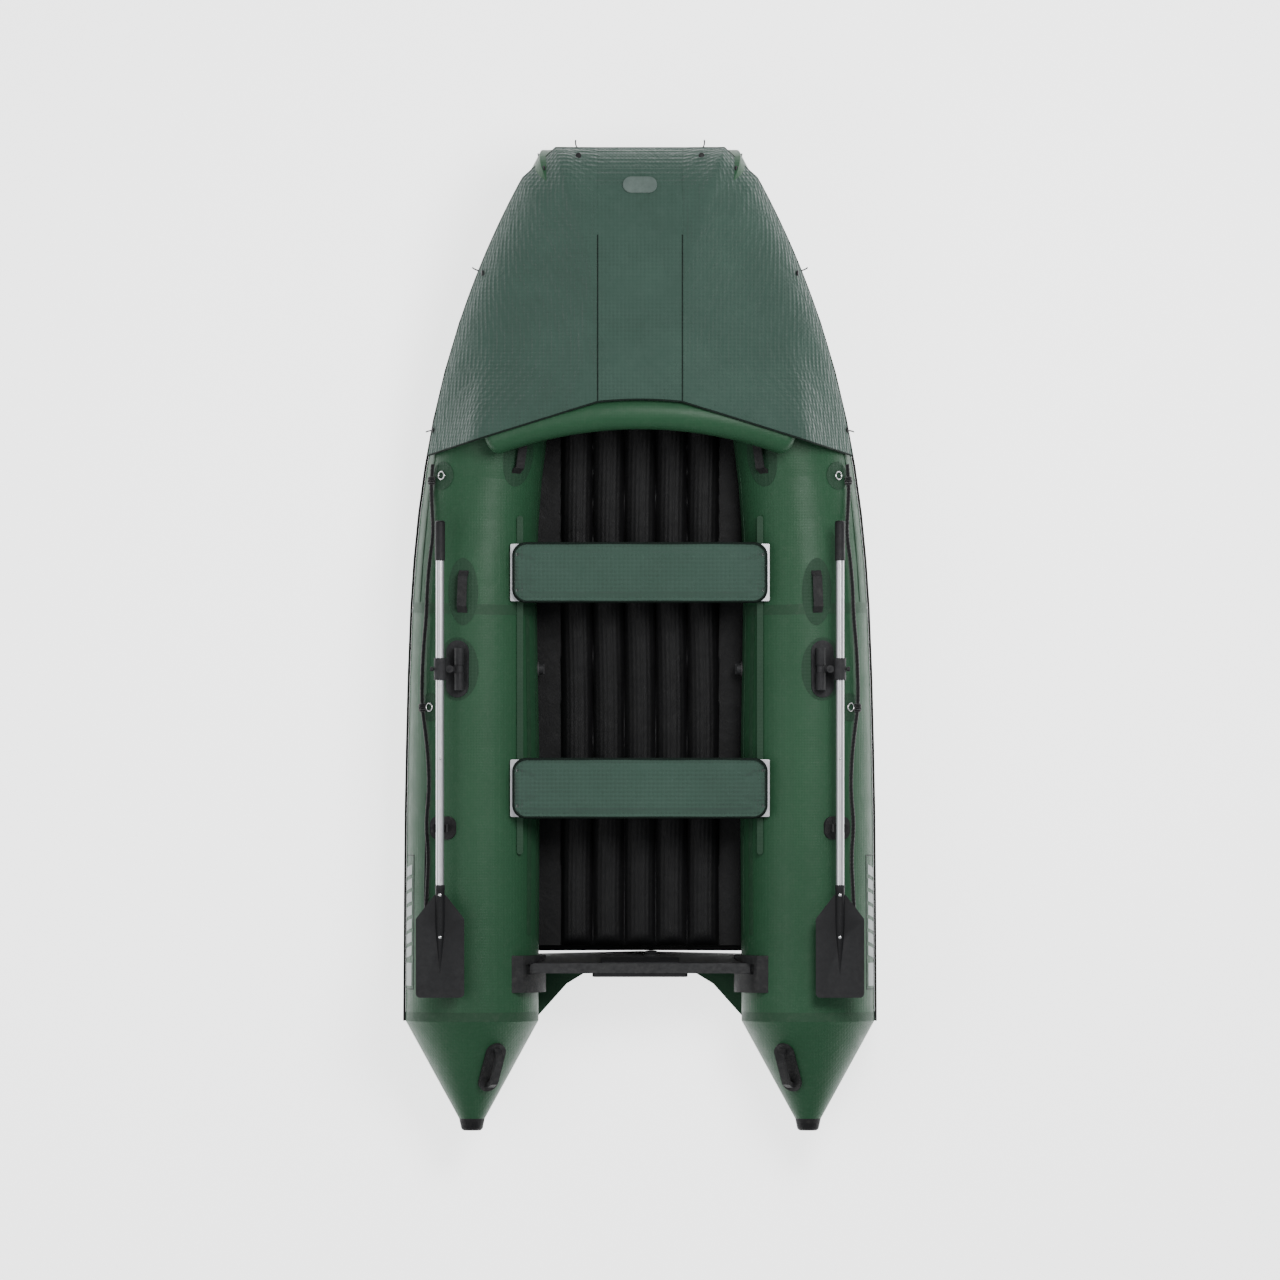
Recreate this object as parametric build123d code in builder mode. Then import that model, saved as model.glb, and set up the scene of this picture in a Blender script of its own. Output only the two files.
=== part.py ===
from build123d import *
import math
import os

# Inflatable motor dinghy with a transom, a bow dodger, two sliding benches and two stowed oars.
# Millimetres. X to starboard, Y to the bow, Z up. The origin is on the ground under the middle of the hull.

# ---------- overall sizes ----------
LENGTH = 3500.0            # stern cone caps to the bow strake
BEAM = 1690.0              # over the strakes, amidships
TUBE_R_STERN = 237.0       # hull tube radius aft
TUBE_R_BOW = 188.0         # hull tube radius round the bow
SKIN_T = 2.0               # hull fabric, drawn thick enough to mesh
FIT = 0.3                  # clearance between glued or touching curved faces
RUN = 2.0                  # clearance between parts that pass each other

# ---------- hull tubes ----------
BOW_BEND_Y = -250.0        # where the side tubes start to curve in
BOW_BEND_POWER = 2.95
BOW_BEND_IN = 352.0        # how far the axis has come in at the mitred bow corner
STERN_FLARE = 7.0          # the side tubes stand this much wider at the stern
TAPER_START_Y = -750.0
SHEER_START_Y = 472.0
BOW_RISE = 260.0
CONE_L = 349.0
CONE_CAP_L = 43.0
CONE_END_R = 46.0
BAFFLE_Y = 110.0
BAFFLE_T = 3.0
VALVE_Y = -103.0            # inflation valves, on the inner sides of the tubes
VALVE_PIN_R = 3.0
STRAKE_H = 40.0
STRAKE_T = 8.0
RAIL_X = 427.0             # bench rails, either side of the centre line

STERN_TIP_Y = -LENGTH / 2
CONE_END_Y = STERN_TIP_Y + CONE_CAP_L
CONE_Y = CONE_END_Y + CONE_L
NOSE_Y = LENGTH / 2 - STRAKE_T - 2 * FIT - TUBE_R_BOW
AXIS_X = BEAM / 2 - TUBE_R_STERN - STRAKE_T - 2 * FIT - STERN_FLARE
BENCH_SEAT_Z = TUBE_R_STERN + math.sqrt(TUBE_R_STERN**2 - (AXIS_X + STERN_FLARE - RAIL_X) ** 2)


def ease(t):
    t = min(max(t, 0.0), 1.0)
    return t * t * (3 - 2 * t)


def axis_x(y):
    """Distance of a side tube's axis from the centre line at station y."""
    flare = STERN_FLARE * min(max((BOW_BEND_Y - y) / (BOW_BEND_Y - CONE_Y), 0), 1)
    bend = max((y - BOW_BEND_Y) / (NOSE_Y - BOW_BEND_Y), 0)
    return AXIS_X + flare - BOW_BEND_IN * bend**BOW_BEND_POWER


def tube_r(y):
    return TUBE_R_STERN - (TUBE_R_STERN - TUBE_R_BOW) * ease((y - TAPER_START_Y) / (NOSE_Y - TAPER_START_Y))


def axis_z(y):
    """The axis height keeps the tubes level along the bench rails, then rises to the bow."""
    level_y = min(y, SHEER_START_Y)
    level = BENCH_SEAT_Z - math.sqrt(tube_r(level_y) ** 2 - (axis_x(level_y) - RAIL_X) ** 2)
    rise = max((y - SHEER_START_Y) / (NOSE_Y - SHEER_START_Y), 0)
    return level + BOW_RISE * rise**2


def heading(y):
    """Angle in plan between a side tube's axis and the centre line, in radians."""
    return math.atan(axis_x(y - 1) - axis_x(y)) if y > BOW_BEND_Y else 0.0


def tube_top(x, y):
    """Height of a side tube's skin at distance x from the centre line."""
    return axis_z(y) + math.sqrt(tube_r(y) ** 2 - ((x - axis_x(y)) * math.cos(heading(y))) ** 2)


def tangent(y):
    turn = heading(y)
    climb = axis_z(y + 1) - axis_z(y) if y > SHEER_START_Y else 0.0
    return Vector(-math.sin(turn), math.cos(turn), climb).normalized()


CORNER = Vector(axis_x(NOSE_Y), NOSE_Y, axis_z(NOSE_Y))
SIDE_DIR = tangent(NOSE_Y)
NOSE_DIR = Vector(-1, 0, 0)
MITRE_OUT = (SIDE_DIR - NOSE_DIR).normalized()
MITRE_NORMAL = (SIDE_DIR + NOSE_DIR).normalized()
MITRE_STRETCH = 1 / math.sqrt((1 + SIDE_DIR.dot(NOSE_DIR)) / 2)


def flip(v, side):
    return Vector(v.X * side, v.Y, v.Z)


def station(y, side):
    """Section plane across a side tube, x_dir outboard."""
    turn = heading(y)
    out = Vector(math.cos(turn), math.sin(turn), 0)
    centre = Vector(axis_x(y), y, axis_z(y))
    return Plane(origin=flip(centre, side), x_dir=flip(out, side), z_dir=flip(tangent(y), side))


def mitre_plane(side):
    return Plane(origin=flip(CORNER, side), x_dir=flip(MITRE_OUT, side), z_dir=flip(MITRE_NORMAL, side))


def tube_solid(side, ys, grow=0.0, to_mitre=False):
    """A solid length of side tube through the stations ys, its radius changed by grow."""
    with BuildPart() as tube:
        for y in ys:
            with BuildSketch(station(y, side)):
                Circle(tube_r(y) + grow)
        if to_mitre:
            with BuildSketch(mitre_plane(side)):
                Ellipse((TUBE_R_BOW + grow) * MITRE_STRETCH, TUBE_R_BOW + grow)
        loft(ruled=True)
    return tube.part


def spaced(start, end, count):
    return [start + (end - start) * i / (count - 1) for i in range(count)]


SIDE_YS = spaced(CONE_Y, BAFFLE_Y - BAFFLE_T / 2, 7)
BOW_YS_END = NOSE_Y - 150
BOW_AFT_YS = spaced(BAFFLE_Y + BAFFLE_T / 2, BAFFLE_Y + 640, 5)
BOW_FORE_YS = spaced(BAFFLE_Y + 640, BOW_YS_END, 5)
HULL_YS = SIDE_YS[:-1] + BOW_AFT_YS + BOW_FORE_YS[1:]
# solid hull sides, a fit clearance proud of the skin: what is glued to the hull is cut back by them
HULL_CUT = {side: tube_solid(side, HULL_YS, FIT, True) for side in (1, -1)}
SIDES = {"starboard": 1, "port": -1}


def save(piece, name):
    piece.part.label = name
    export_step(piece.part, f"parts/{name}.step")


os.makedirs("parts", exist_ok=True)


def tube_shell(side, ys, to_mitre=False):
    """A length of side tube as a fabric shell, open at its ends."""
    with BuildPart() as shell:
        add(tube_solid(side, ys, 0, to_mitre))
        add(tube_solid(side, ys, -SKIN_T, to_mitre), mode=Mode.SUBTRACT)
    return shell.part


for name, side in SIDES.items():
    with BuildPart() as side_tube:
        add(tube_shell(side, SIDE_YS))
        with BuildSketch(Plane.YZ.offset(side * (axis_x(VALVE_Y) - tube_r(VALVE_Y) - 20))):
            with Locations((VALVE_Y, axis_z(VALVE_Y))):
                Circle(VALVE_PIN_R + 1)
        extrude(amount=side * 60, mode=Mode.SUBTRACT)
    save(side_tube, f"{name}_side_tube")

    base_centre = (side * axis_x(CONE_Y), CONE_Y, axis_z(CONE_Y))
    cone_base = Plane(origin=base_centre, x_dir=(side, 0, 0), z_dir=(0, -1, 0))
    with BuildPart() as stern_cone:
        for inset, mode in ((0.0, Mode.ADD), (SKIN_T, Mode.SUBTRACT)):
            with BuildSketch(cone_base):
                Circle(TUBE_R_STERN - inset)
            with BuildSketch(cone_base.offset(CONE_L)):
                Circle(CONE_END_R - inset)
            loft(mode=mode)
    save(stern_cone, f"{name}_stern_cone")

with BuildPart() as nose_tube:
    for inset, mode in ((0.0, Mode.ADD), (SKIN_T, Mode.SUBTRACT)):
        for side in (1, -1):
            with BuildSketch(mitre_plane(side)):
                Ellipse((TUBE_R_BOW - inset) * MITRE_STRETCH, TUBE_R_BOW - inset)
        loft(ruled=True, mode=mode)

# the bow chamber is glued up from five panels, butted at their seams, so they stay separate solids
bow_panels = [nose_tube.part.solid()]
for side in SIDES.values():
    bow_panels.append(tube_shell(side, BOW_AFT_YS).solid())
    bow_panels.append(tube_shell(side, BOW_FORE_YS, True).solid())
bow_tube = Compound(bow_panels)
bow_tube.label = "bow_tube"
export_step(bow_tube, "parts/bow_tube.step")

with BuildPart() as air_baffles:
    for side in SIDES.values():
        with BuildSketch(station(BAFFLE_Y - BAFFLE_T / 2 + FIT, side)):
            Circle(tube_r(BAFFLE_Y) - SKIN_T - FIT)
        extrude(amount=(BAFFLE_T - 2 * FIT) * 1)
save(air_baffles, "air_baffles")

with BuildPart() as cone_end_caps:
    for side in SIDES.values():
        cap_centre = (side * axis_x(CONE_Y), CONE_END_Y, axis_z(CONE_Y))
        cap = Plane(origin=cap_centre, x_dir=(side, 0, 0), z_dir=(0, -1, 0))
        with BuildSketch(cap):
            Circle(CONE_END_R)
        extrude(amount=CONE_CAP_L, taper=12)
    outer_rims = cone_end_caps.faces().filter_by(Axis.Y).group_by(Axis.Y)[0].edges()
    fillet(outer_rims, radius=14)
save(cone_end_caps, "cone_end_caps")


def strake_length(side, ys):
    """A flat rubbing strip down the outermost line of a side tube."""
    with BuildPart() as strip:
        for y in ys:
            with BuildSketch(station(y, side)):
                with Locations((tube_r(y) + 2 * FIT + STRAKE_T / 2, 0)):
                    Rectangle(STRAKE_T, STRAKE_H)
        loft(ruled=True)
    return strip.part


with BuildPart() as nose_strake:
    with BuildSketch(Plane.YZ.offset(-CORNER.X)):
        with Locations((CORNER.Y + TUBE_R_BOW + 2 * FIT + STRAKE_T / 2, CORNER.Z)):
            Rectangle(STRAKE_T, STRAKE_H)
    extrude(amount=2 * CORNER.X)
# the strake is one extrusion laid round the hull in lengths, butted end to end
strake_lengths = [nose_strake.part.solid()]
for side in SIDES.values():
    strake_lengths.append(strake_length(side, HULL_YS).solid())
rub_strake = Compound(strake_lengths)
rub_strake.label = "rub_strake"
export_step(rub_strake, "parts/rub_strake.step")

# ---------- bottom, keel and floor ----------
SKIN_EDGE_ANGLE = 40.0     # below the tube axis, where the bottom skin is glued on
KEEL_Z = 5.0
KEEL_R = 56.0
KEEL_BOW_LIFT = 110.0
BOTTOM_T = 3.0
TRANSOM_Y = -1151.0        # inner face of the transom at its top edge
TRANSOM_T = 36.0
TRANSOM_TOP_Z = 380.0
TRANSOM_RAKE = 6.0
BOTTOM_FRONT_Y = 1250.0
FLOOR_REAR_Y = -1090.0
FLOOR_FRONT_Y = 900.0
FLOOR_CELLS = 5
FLOOR_CELL_W = 113.0
FLOOR_CELL_H = 86.0
FLOOR_Z = 172.0            # mid height of the floor cells
FLOOR_WEB_T = 4.0

TRANSOM_FOOT_Z = 20.0
RAKE = math.radians(TRANSOM_RAKE)
BOTTOM_REAR_Y = TRANSOM_Y + (TRANSOM_TOP_Z - TRANSOM_FOOT_Z) * math.tan(RAKE) + RUN


def bottom_edge(y):
    """Where the bottom skin meets the tube at station y."""
    drop = math.radians(SKIN_EDGE_ANGLE)
    reach = tube_r(y) + FIT + BOTTOM_T
    return axis_x(y) - reach * math.cos(drop), axis_z(y) - reach * math.sin(drop)


def keel_z(y):
    return KEEL_Z + KEEL_BOW_LIFT * max((y - SHEER_START_Y) / (BOTTOM_FRONT_Y - SHEER_START_Y), 0) ** 2


with BuildPart() as bottom_skin:
    for y in spaced(BOTTOM_REAR_Y, BOTTOM_FRONT_Y, 11):
        edge_x, edge_z = bottom_edge(y)
        low = keel_z(y)
        with BuildSketch(Plane(origin=(0, y, 0), x_dir=(1, 0, 0), z_dir=(0, -1, 0))):
            Polygon(
                (-edge_x, edge_z), (0, low), (edge_x, edge_z),
                (edge_x, edge_z + BOTTOM_T), (0, low + BOTTOM_T), (-edge_x, edge_z + BOTTOM_T),
                align=None,
            )
    loft(ruled=True)
save(bottom_skin, "bottom_skin")

with BuildPart() as keel_tube:
    foot_centre = (0, FLOOR_REAR_Y, keel_z(0) + BOTTOM_T + KEEL_R * 1.06)
    foot = Plane(origin=foot_centre, x_dir=(1, 0, 0), z_dir=(0, 1, 0))
    with BuildSketch(foot):
        Circle(KEEL_R)
    extrude(amount=SHEER_START_Y - FLOOR_REAR_Y)
    fillet(keel_tube.edges().filter_by(GeomType.CIRCLE), radius=KEEL_R * 0.6)
save(keel_tube, "keel_tube")

CELL_PITCH = FLOOR_CELL_W - 1


def floor_half_width(y):
    """Half the width of the floor's flat edge strip, clear of the tubes at cell height."""
    drop = axis_z(y) - FLOOR_Z
    return axis_x(y) - math.sqrt(tube_r(y) ** 2 - drop**2) / math.cos(heading(y)) - RUN


with BuildPart() as air_floor:
    with BuildSketch(Plane(origin=(0, FLOOR_FRONT_Y, FLOOR_Z), x_dir=(1, 0, 0), z_dir=(0, -1, 0))):
        with GridLocations(CELL_PITCH, 0, FLOOR_CELLS, 1):
            Ellipse(FLOOR_CELL_W / 2, FLOOR_CELL_H / 2)
    extrude(amount=FLOOR_FRONT_Y - FLOOR_REAR_Y)
    edge_ys = spaced(FLOOR_REAR_Y, FLOOR_FRONT_Y, 8)
    rim = [(floor_half_width(y), y) for y in edge_ys]
    with BuildSketch(Plane.XY.offset(FLOOR_Z - FLOOR_WEB_T / 2)):
        Polygon(*rim, *[(-x, y) for x, y in reversed(rim)], align=None)
    extrude(amount=FLOOR_WEB_T)
save(air_floor, "air_floor")

# ---------- transom ----------
TRANSOM_HALF_TOP = 392.0
HOLDER_T = 26.0
HOLDER_SINK = 14.0         # how deep the board stands in its holders
HOLDER_L = 132.0
PLATE_OUT_T = 14.0
PLATE_IN_T = 3.0
PLATE_HALF = 170.0
DRAIN_R = 19.0
DRAIN_X = 40.0
GUSSET_Z = 98.0
GUSSET_REAR_Y = CONE_Y + 6

board_aft = Vector(0, -math.cos(RAKE), -math.sin(RAKE))
BOARD = Plane(origin=(0, TRANSOM_Y, TRANSOM_TOP_Z), x_dir=(1, 0, 0), z_dir=board_aft)
FOOT_V = -(TRANSOM_TOP_Z - TRANSOM_FOOT_Z) / math.cos(RAKE)
SIDE_V = -(TRANSOM_TOP_Z - 96) / math.cos(RAKE)
BOARD_CUT = {side: tube_solid(side, HULL_YS, HOLDER_T - HOLDER_SINK) for side in (1, -1)}

with BuildPart() as transom_board:
    with BuildSketch(BOARD):
        Polygon(
            (-TRANSOM_HALF_TOP, 0), (TRANSOM_HALF_TOP, 0), (TRANSOM_HALF_TOP + 30, SIDE_V),
            (0, FOOT_V), (-TRANSOM_HALF_TOP - 30, SIDE_V), align=None,
        )
    extrude(amount=TRANSOM_T)
    for cut in BOARD_CUT.values():
        add(cut, mode=Mode.SUBTRACT)
    with Locations(BOARD * Pos(DRAIN_X, FOOT_V + 120, TRANSOM_T / 2)):
        Cylinder(DRAIN_R + FIT, TRANSOM_T * 2, mode=Mode.SUBTRACT)
save(transom_board, "transom_board")

with BuildPart() as outer_motor_plate:
    with BuildSketch(BOARD.offset(TRANSOM_T)):
        with Locations((0, -95)):
            RectangleRounded(2 * PLATE_HALF, 180, 12)
    extrude(amount=PLATE_OUT_T)
    chamfer(outer_motor_plate.faces().sort_by(Axis.Y)[0].edges(), length=2)
save(outer_motor_plate, "outer_motor_plate")

with BuildPart() as inner_motor_plate:
    with BuildSketch(BOARD.offset(-PLATE_IN_T)):
        with Locations((0, -80)):
            RectangleRounded(2 * PLATE_HALF - 60, 140, 10)
    extrude(amount=PLATE_IN_T)
save(inner_motor_plate, "inner_motor_plate")

with BuildPart() as drain_valve_body:
    with BuildSketch(BOARD.offset(-5)):
        with Locations((DRAIN_X, FOOT_V + 120)):
            Circle(DRAIN_R + 11)
            Circle(DRAIN_R - 5, mode=Mode.SUBTRACT)
    extrude(amount=5)
    with BuildSketch(BOARD):
        with Locations((DRAIN_X, FOOT_V + 120)):
            Circle(DRAIN_R)
            Circle(DRAIN_R - 5, mode=Mode.SUBTRACT)
    extrude(amount=TRANSOM_T)
save(drain_valve_body, "drain_valve_body")

with BuildPart() as drain_plug:
    with BuildSketch(BOARD.offset(-5 - FIT)):
        with Locations((DRAIN_X, FOOT_V + 120)):
            RegularPolygon(DRAIN_R + 4, 8)
    extrude(amount=-9)
    fillet(drain_plug.edges().filter_by(GeomType.LINE), radius=1.5)
    with BuildSketch(BOARD.offset(-5 - FIT)):
        with Locations((DRAIN_X, FOOT_V + 120)):
            Circle(DRAIN_R - 5 - FIT)
    extrude(amount=18)
save(drain_plug, "drain_plug")

with BuildPart() as transom_holders:
    for side in SIDES.values():
        middle_y = TRANSOM_Y - TRANSOM_T / 2 - 20
        with BuildSketch(Plane(origin=(0, middle_y + HOLDER_L / 2, 0), x_dir=(1, 0, 0), z_dir=(0, -1, 0))):
            with Locations((side * axis_x(middle_y), axis_z(middle_y))):
                Circle(tube_r(middle_y) + HOLDER_T)
                Circle(tube_r(middle_y) - HOLDER_T, mode=Mode.SUBTRACT)
                with Locations((-side * TUBE_R_STERN, 40)):
                    Rectangle(TUBE_R_STERN * 1.2, 300, mode=Mode.INTERSECT)
        extrude(amount=HOLDER_L)
    with BuildSketch(BOARD.offset(-FIT)):
        with Locations((0, FOOT_V / 2)):
            Rectangle(BEAM, -FOOT_V * 1.2)
    extrude(amount=TRANSOM_T + 2 * FIT, mode=Mode.SUBTRACT)
    for side in SIDES.values():
        with BuildSketch(Plane(origin=(0, TRANSOM_Y + 10, 0), x_dir=(1, 0, 0), z_dir=(0, -1, 0))):
            with Locations((side * axis_x(TRANSOM_Y), axis_z(TRANSOM_Y))):
                Circle(TUBE_R_STERN + HOLDER_T - HOLDER_SINK - FIT)
                Circle(TUBE_R_STERN - HOLDER_T, mode=Mode.SUBTRACT)
                with Locations((-side * TUBE_R_STERN, 40)):
                    Rectangle(TUBE_R_STERN * 1.2, 300, mode=Mode.INTERSECT)
        extrude(amount=60)
    for cut in HULL_CUT.values():
        add(cut, mode=Mode.SUBTRACT)
save(transom_holders, "transom_holders")

with BuildPart() as stern_gussets:
    for side in SIDES.values():
        front_y = TRANSOM_Y - 2
        with BuildSketch(Plane.XY.offset(GUSSET_Z)):
            Polygon(
                (side * 150, front_y - 8), (side * 430, front_y - 8), (side * 430, GUSSET_REAR_Y),
                (side * 372, GUSSET_REAR_Y), (side * 262, front_y - 76), align=None,
            )
        extrude(amount=BOTTOM_T)
    for cut in HULL_CUT.values():
        add(cut, mode=Mode.SUBTRACT)
    add(transom_holders.part, mode=Mode.SUBTRACT)
save(stern_gussets, "stern_gussets")

# ---------- benches ----------
BENCH_L = 923.0
BENCH_W = 205.0
BENCH_T = 12.0
CUSHION_L = 908.0
CUSHION_W = 216.0
CUSHION_T = 44.0
FRONT_BENCH_Y = 240.0
REAR_BENCH_Y = -527.0
RAIL_FRONT_Y = 442.0
RAIL_REAR_Y = -763.0
RAIL_W = 22.0
RAIL_TOP_Z = BENCH_SEAT_Z + 16
CLAMP_L = 150.0
CLAMP_WALL = 7.0

BENCH_Z = max(tube_top(BENCH_L / 2, y) for y in spaced(RAIL_REAR_Y, RAIL_FRONT_Y, 9)) + RUN
OVER_HULL = {side: tube_solid(side, HULL_YS, RUN) for side in (1, -1)}

with BuildPart() as bench_rails:
    for side in SIDES.values():
        with BuildSketch(Plane.XY.offset(RAIL_TOP_Z)):
            with Locations((side * RAIL_X, (RAIL_FRONT_Y + RAIL_REAR_Y) / 2)):
                SlotOverall(RAIL_FRONT_Y - RAIL_REAR_Y, RAIL_W, rotation=90)
        extrude(amount=-36)
    for cut in HULL_CUT.values():
        add(cut, mode=Mode.SUBTRACT)
save(bench_rails, "bench_rails")

for name, bench_y in (("front", FRONT_BENCH_Y), ("rear", REAR_BENCH_Y)):
    with BuildPart() as bench_board:
        with BuildSketch(Plane.XY.offset(BENCH_Z)):
            with Locations((0, bench_y)):
                RectangleRounded(BENCH_L, BENCH_W, 6)
        extrude(amount=BENCH_T)
        fillet(bench_board.faces().sort_by(Axis.Z)[-1].edges(), radius=1.5)
    save(bench_board, f"{name}_bench_board")

    with BuildPart() as bench_cushion:
        with BuildSketch(Plane.XY.offset(BENCH_Z + BENCH_T + FIT)):
            with Locations((0, bench_y)):
                RectangleRounded(CUSHION_L, CUSHION_W, 26)
        extrude(amount=CUSHION_T)
        fillet(bench_cushion.faces().sort_by(Axis.Z)[-1].edges(), radius=12)
    save(bench_cushion, f"{name}_bench_cushion")

    with BuildPart() as bench_clamps:
        for side in SIDES.values():
            with BuildSketch(Plane.XZ.offset(-bench_y - CLAMP_L / 2)):
                with Locations((side * RAIL_X, BENCH_Z - FIT)):
                    Rectangle(RAIL_W + 2 * CLAMP_WALL + 2 * RUN, 40, align=(Align.CENTER, Align.MAX))
                with Locations((side * RAIL_X, RAIL_TOP_Z + RUN)):
                    Rectangle(RAIL_W + 2 * RUN, 60, align=(Align.CENTER, Align.MAX), mode=Mode.SUBTRACT)
            extrude(amount=CLAMP_L)
        for cut in OVER_HULL.values():
            add(cut, mode=Mode.SUBTRACT)
    save(bench_clamps, f"{name}_bench_clamps")

# ---------- fittings on the tubes ----------
def on_tube(side, y, angle):
    """Plane on the skin at station y: x_dir along the tube, z_dir out of the skin, angle up from outboard."""
    def point(at):
        turn = heading(at)
        level = tube_r(at) * math.cos(math.radians(angle))
        return Vector(
            axis_x(at) + level * math.cos(turn), at + level * math.sin(turn),
            axis_z(at) + tube_r(at) * math.sin(math.radians(angle)),
        )
    turn = heading(y)
    out = Vector(math.cos(turn), math.sin(turn), 0)
    around = Vector(0, 0, 1) * math.cos(math.radians(angle)) - out * math.sin(math.radians(angle))
    along = (point(y + 1) - point(y - 1)).normalized()
    # the section turns from outboard over the top, so along x around points out of the skin
    normal = along.cross(around).normalized()
    return Plane(origin=flip(point(y), side), x_dir=flip(along, side), z_dir=flip(normal, side))


def angle_at(x, y):
    """The angle up from outboard at which the skin stands at distance x from the centre line."""
    return math.degrees(math.acos((x - axis_x(y)) * math.cos(heading(y)) / tube_r(y)))


def cut_to_hull():
    for cut in HULL_CUT.values():
        add(cut, mode=Mode.SUBTRACT)


MID_HANDLE = (628.0, 171.0)
FRONT_HANDLE = (430.0, 684.0)
HANDLE_L = 150.0
HANDLE_W = 34.0
HANDLE_H = 27.0
HANDLE_T = 5.0
STERN_HANDLE_Y = CONE_Y - 160
STERN_HANDLE_ANGLE = 118.0

with BuildPart() as carry_handles:
    for side in SIDES.values():
        for x, y in (MID_HANDLE, FRONT_HANDLE):
            skin = on_tube(side, y, angle_at(x, y))
            upright = Plane(origin=skin.origin, x_dir=skin.x_dir, z_dir=skin.y_dir * -1)
            half = HANDLE_L / 2
            with BuildSketch(upright.offset(-HANDLE_W / 2)):
                Polygon(
                    (-half, -8), (-half, 3), (-half + 22, HANDLE_H), (half - 22, HANDLE_H), (half, 3),
                    (half, -8), align=None,
                )
                Polygon(
                    (-half + 14, -9), (-half + 14, 3), (-half + 26, HANDLE_H - HANDLE_T),
                    (half - 26, HANDLE_H - HANDLE_T), (half - 14, 3), (half - 14, -9), align=None,
                    mode=Mode.SUBTRACT,
                )
            extrude(amount=HANDLE_W)
    cut_to_hull()
save(carry_handles, "carry_handles")

with BuildPart() as stern_handles:
    for side in SIDES.values():
        cone_axis = Vector(side * axis_x(CONE_Y), STERN_HANDLE_Y, axis_z(CONE_Y))
        cone_r = TUBE_R_STERN + (CONE_END_R - TUBE_R_STERN) * (CONE_Y - STERN_HANDLE_Y) / CONE_L
        slope = math.atan((TUBE_R_STERN - CONE_END_R) / CONE_L)
        turn = math.radians(STERN_HANDLE_ANGLE)
        radial = Vector(side * math.cos(turn), 0, math.sin(turn))
        down_cone = (Vector(0, -1, 0) * math.cos(slope) - radial * math.sin(slope)).normalized()
        normal = (radial * math.cos(slope) + Vector(0, -1, 0) * math.sin(slope)).normalized()
        pad = Plane(origin=cone_axis + radial * cone_r + normal * FIT, x_dir=down_cone, z_dir=normal)
        with BuildSketch(pad):
            SlotOverall(192, 75)
        extrude(amount=12)
        upright = Plane(origin=pad.origin, x_dir=pad.x_dir, z_dir=pad.y_dir * -1)
        with BuildSketch(upright.offset(-13)):
            Polygon((-82, 6), (-70, 30), (-46, 50), (46, 50), (70, 30), (82, 6), align=None)
            Polygon(
                (-62, 6), (-54, 22), (-38, 34), (38, 34), (54, 22), (62, 6),
                align=None, mode=Mode.SUBTRACT,
            )
        extrude(amount=26)
        with BuildSketch(Plane(origin=cone_axis, x_dir=(side, 0, 0), z_dir=(0, 1, 0)).offset(-190)):
            Circle(cone_r + FIT - 190 * math.tan(slope) + 0.3)
        with BuildSketch(Plane(origin=cone_axis, x_dir=(side, 0, 0), z_dir=(0, 1, 0)).offset(150)):
            Circle(cone_r + FIT + 150 * math.tan(slope) + 0.3)
        loft(mode=Mode.SUBTRACT)
save(stern_handles, "stern_handles")

# ---------- bow arch and dodger ----------
ARCH_R = 62.0
ARCH_HALF = 540.0
ARCH_Y = 809.0
ARCH_END_Y = 709.0
ARCH_MID_Z = 600.0
DODGER_T = 3.0
CLOTH_POINTS = 16          # points across each section of cloth
DODGER_GAP = 16.0          # the cloth's inner face over the tubes
SEAM_X = 150.0
HEM_ANGLE = 20.0
EDGE_MID_Y = 852.0         # rear edge of the cloth, at the centre line and at its corners
EDGE_CORNER_Y = 725.0
ARCH_CLEAR = 69.0          # the cloth's rear edge above the arch's centre line

arch_end_z = tube_top(ARCH_HALF, ARCH_END_Y) + ARCH_R + FIT
arch_end = Vector(ARCH_HALF, ARCH_END_Y, arch_end_z)
with BuildPart() as arch_tube:
    with BuildLine() as arch_line:
        ThreePointArc((-arch_end.X, arch_end.Y, arch_end.Z), (0, ARCH_Y, ARCH_MID_Z), tuple(arch_end))
    start_plane = Plane(origin=arch_line.line @ 0, z_dir=arch_line.line % 0)
    with BuildSketch(start_plane):
        Circle(ARCH_R)
    sweep(path=arch_line.line)
    fillet(arch_tube.edges().filter_by(GeomType.CIRCLE), radius=ARCH_R * 0.6)
save(arch_tube, "arch_tube")


def cloth_over(centre_z, squash, radius, start_d, start_z, steps):
    """Points from a start down the upper tangent to a tube and round to the hem."""
    flat, tall = squash
    across, up = start_d * flat, (start_z - centre_z) * tall
    reach = math.hypot(across, up)
    touch = math.atan2(up, across) - math.acos(min(radius / reach, 1.0))
    hem = math.radians(HEM_ANGLE)
    turns = [touch + (hem - touch) * i / steps for i in range(steps + 1)]
    return [(radius * math.cos(t) / flat, centre_z + radius * math.sin(t) / tall) for t in turns]


def seam_height(y):
    """Height of the seam between the rear edge and the nose."""
    rear_z = ARCH_MID_Z - 6 + ARCH_CLEAR
    nose_z = CORNER.Z + TUBE_R_BOW + DODGER_GAP
    return rear_z + (nose_z - rear_z) * (y - EDGE_MID_Y) / (NOSE_Y - EDGE_MID_Y)


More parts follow.
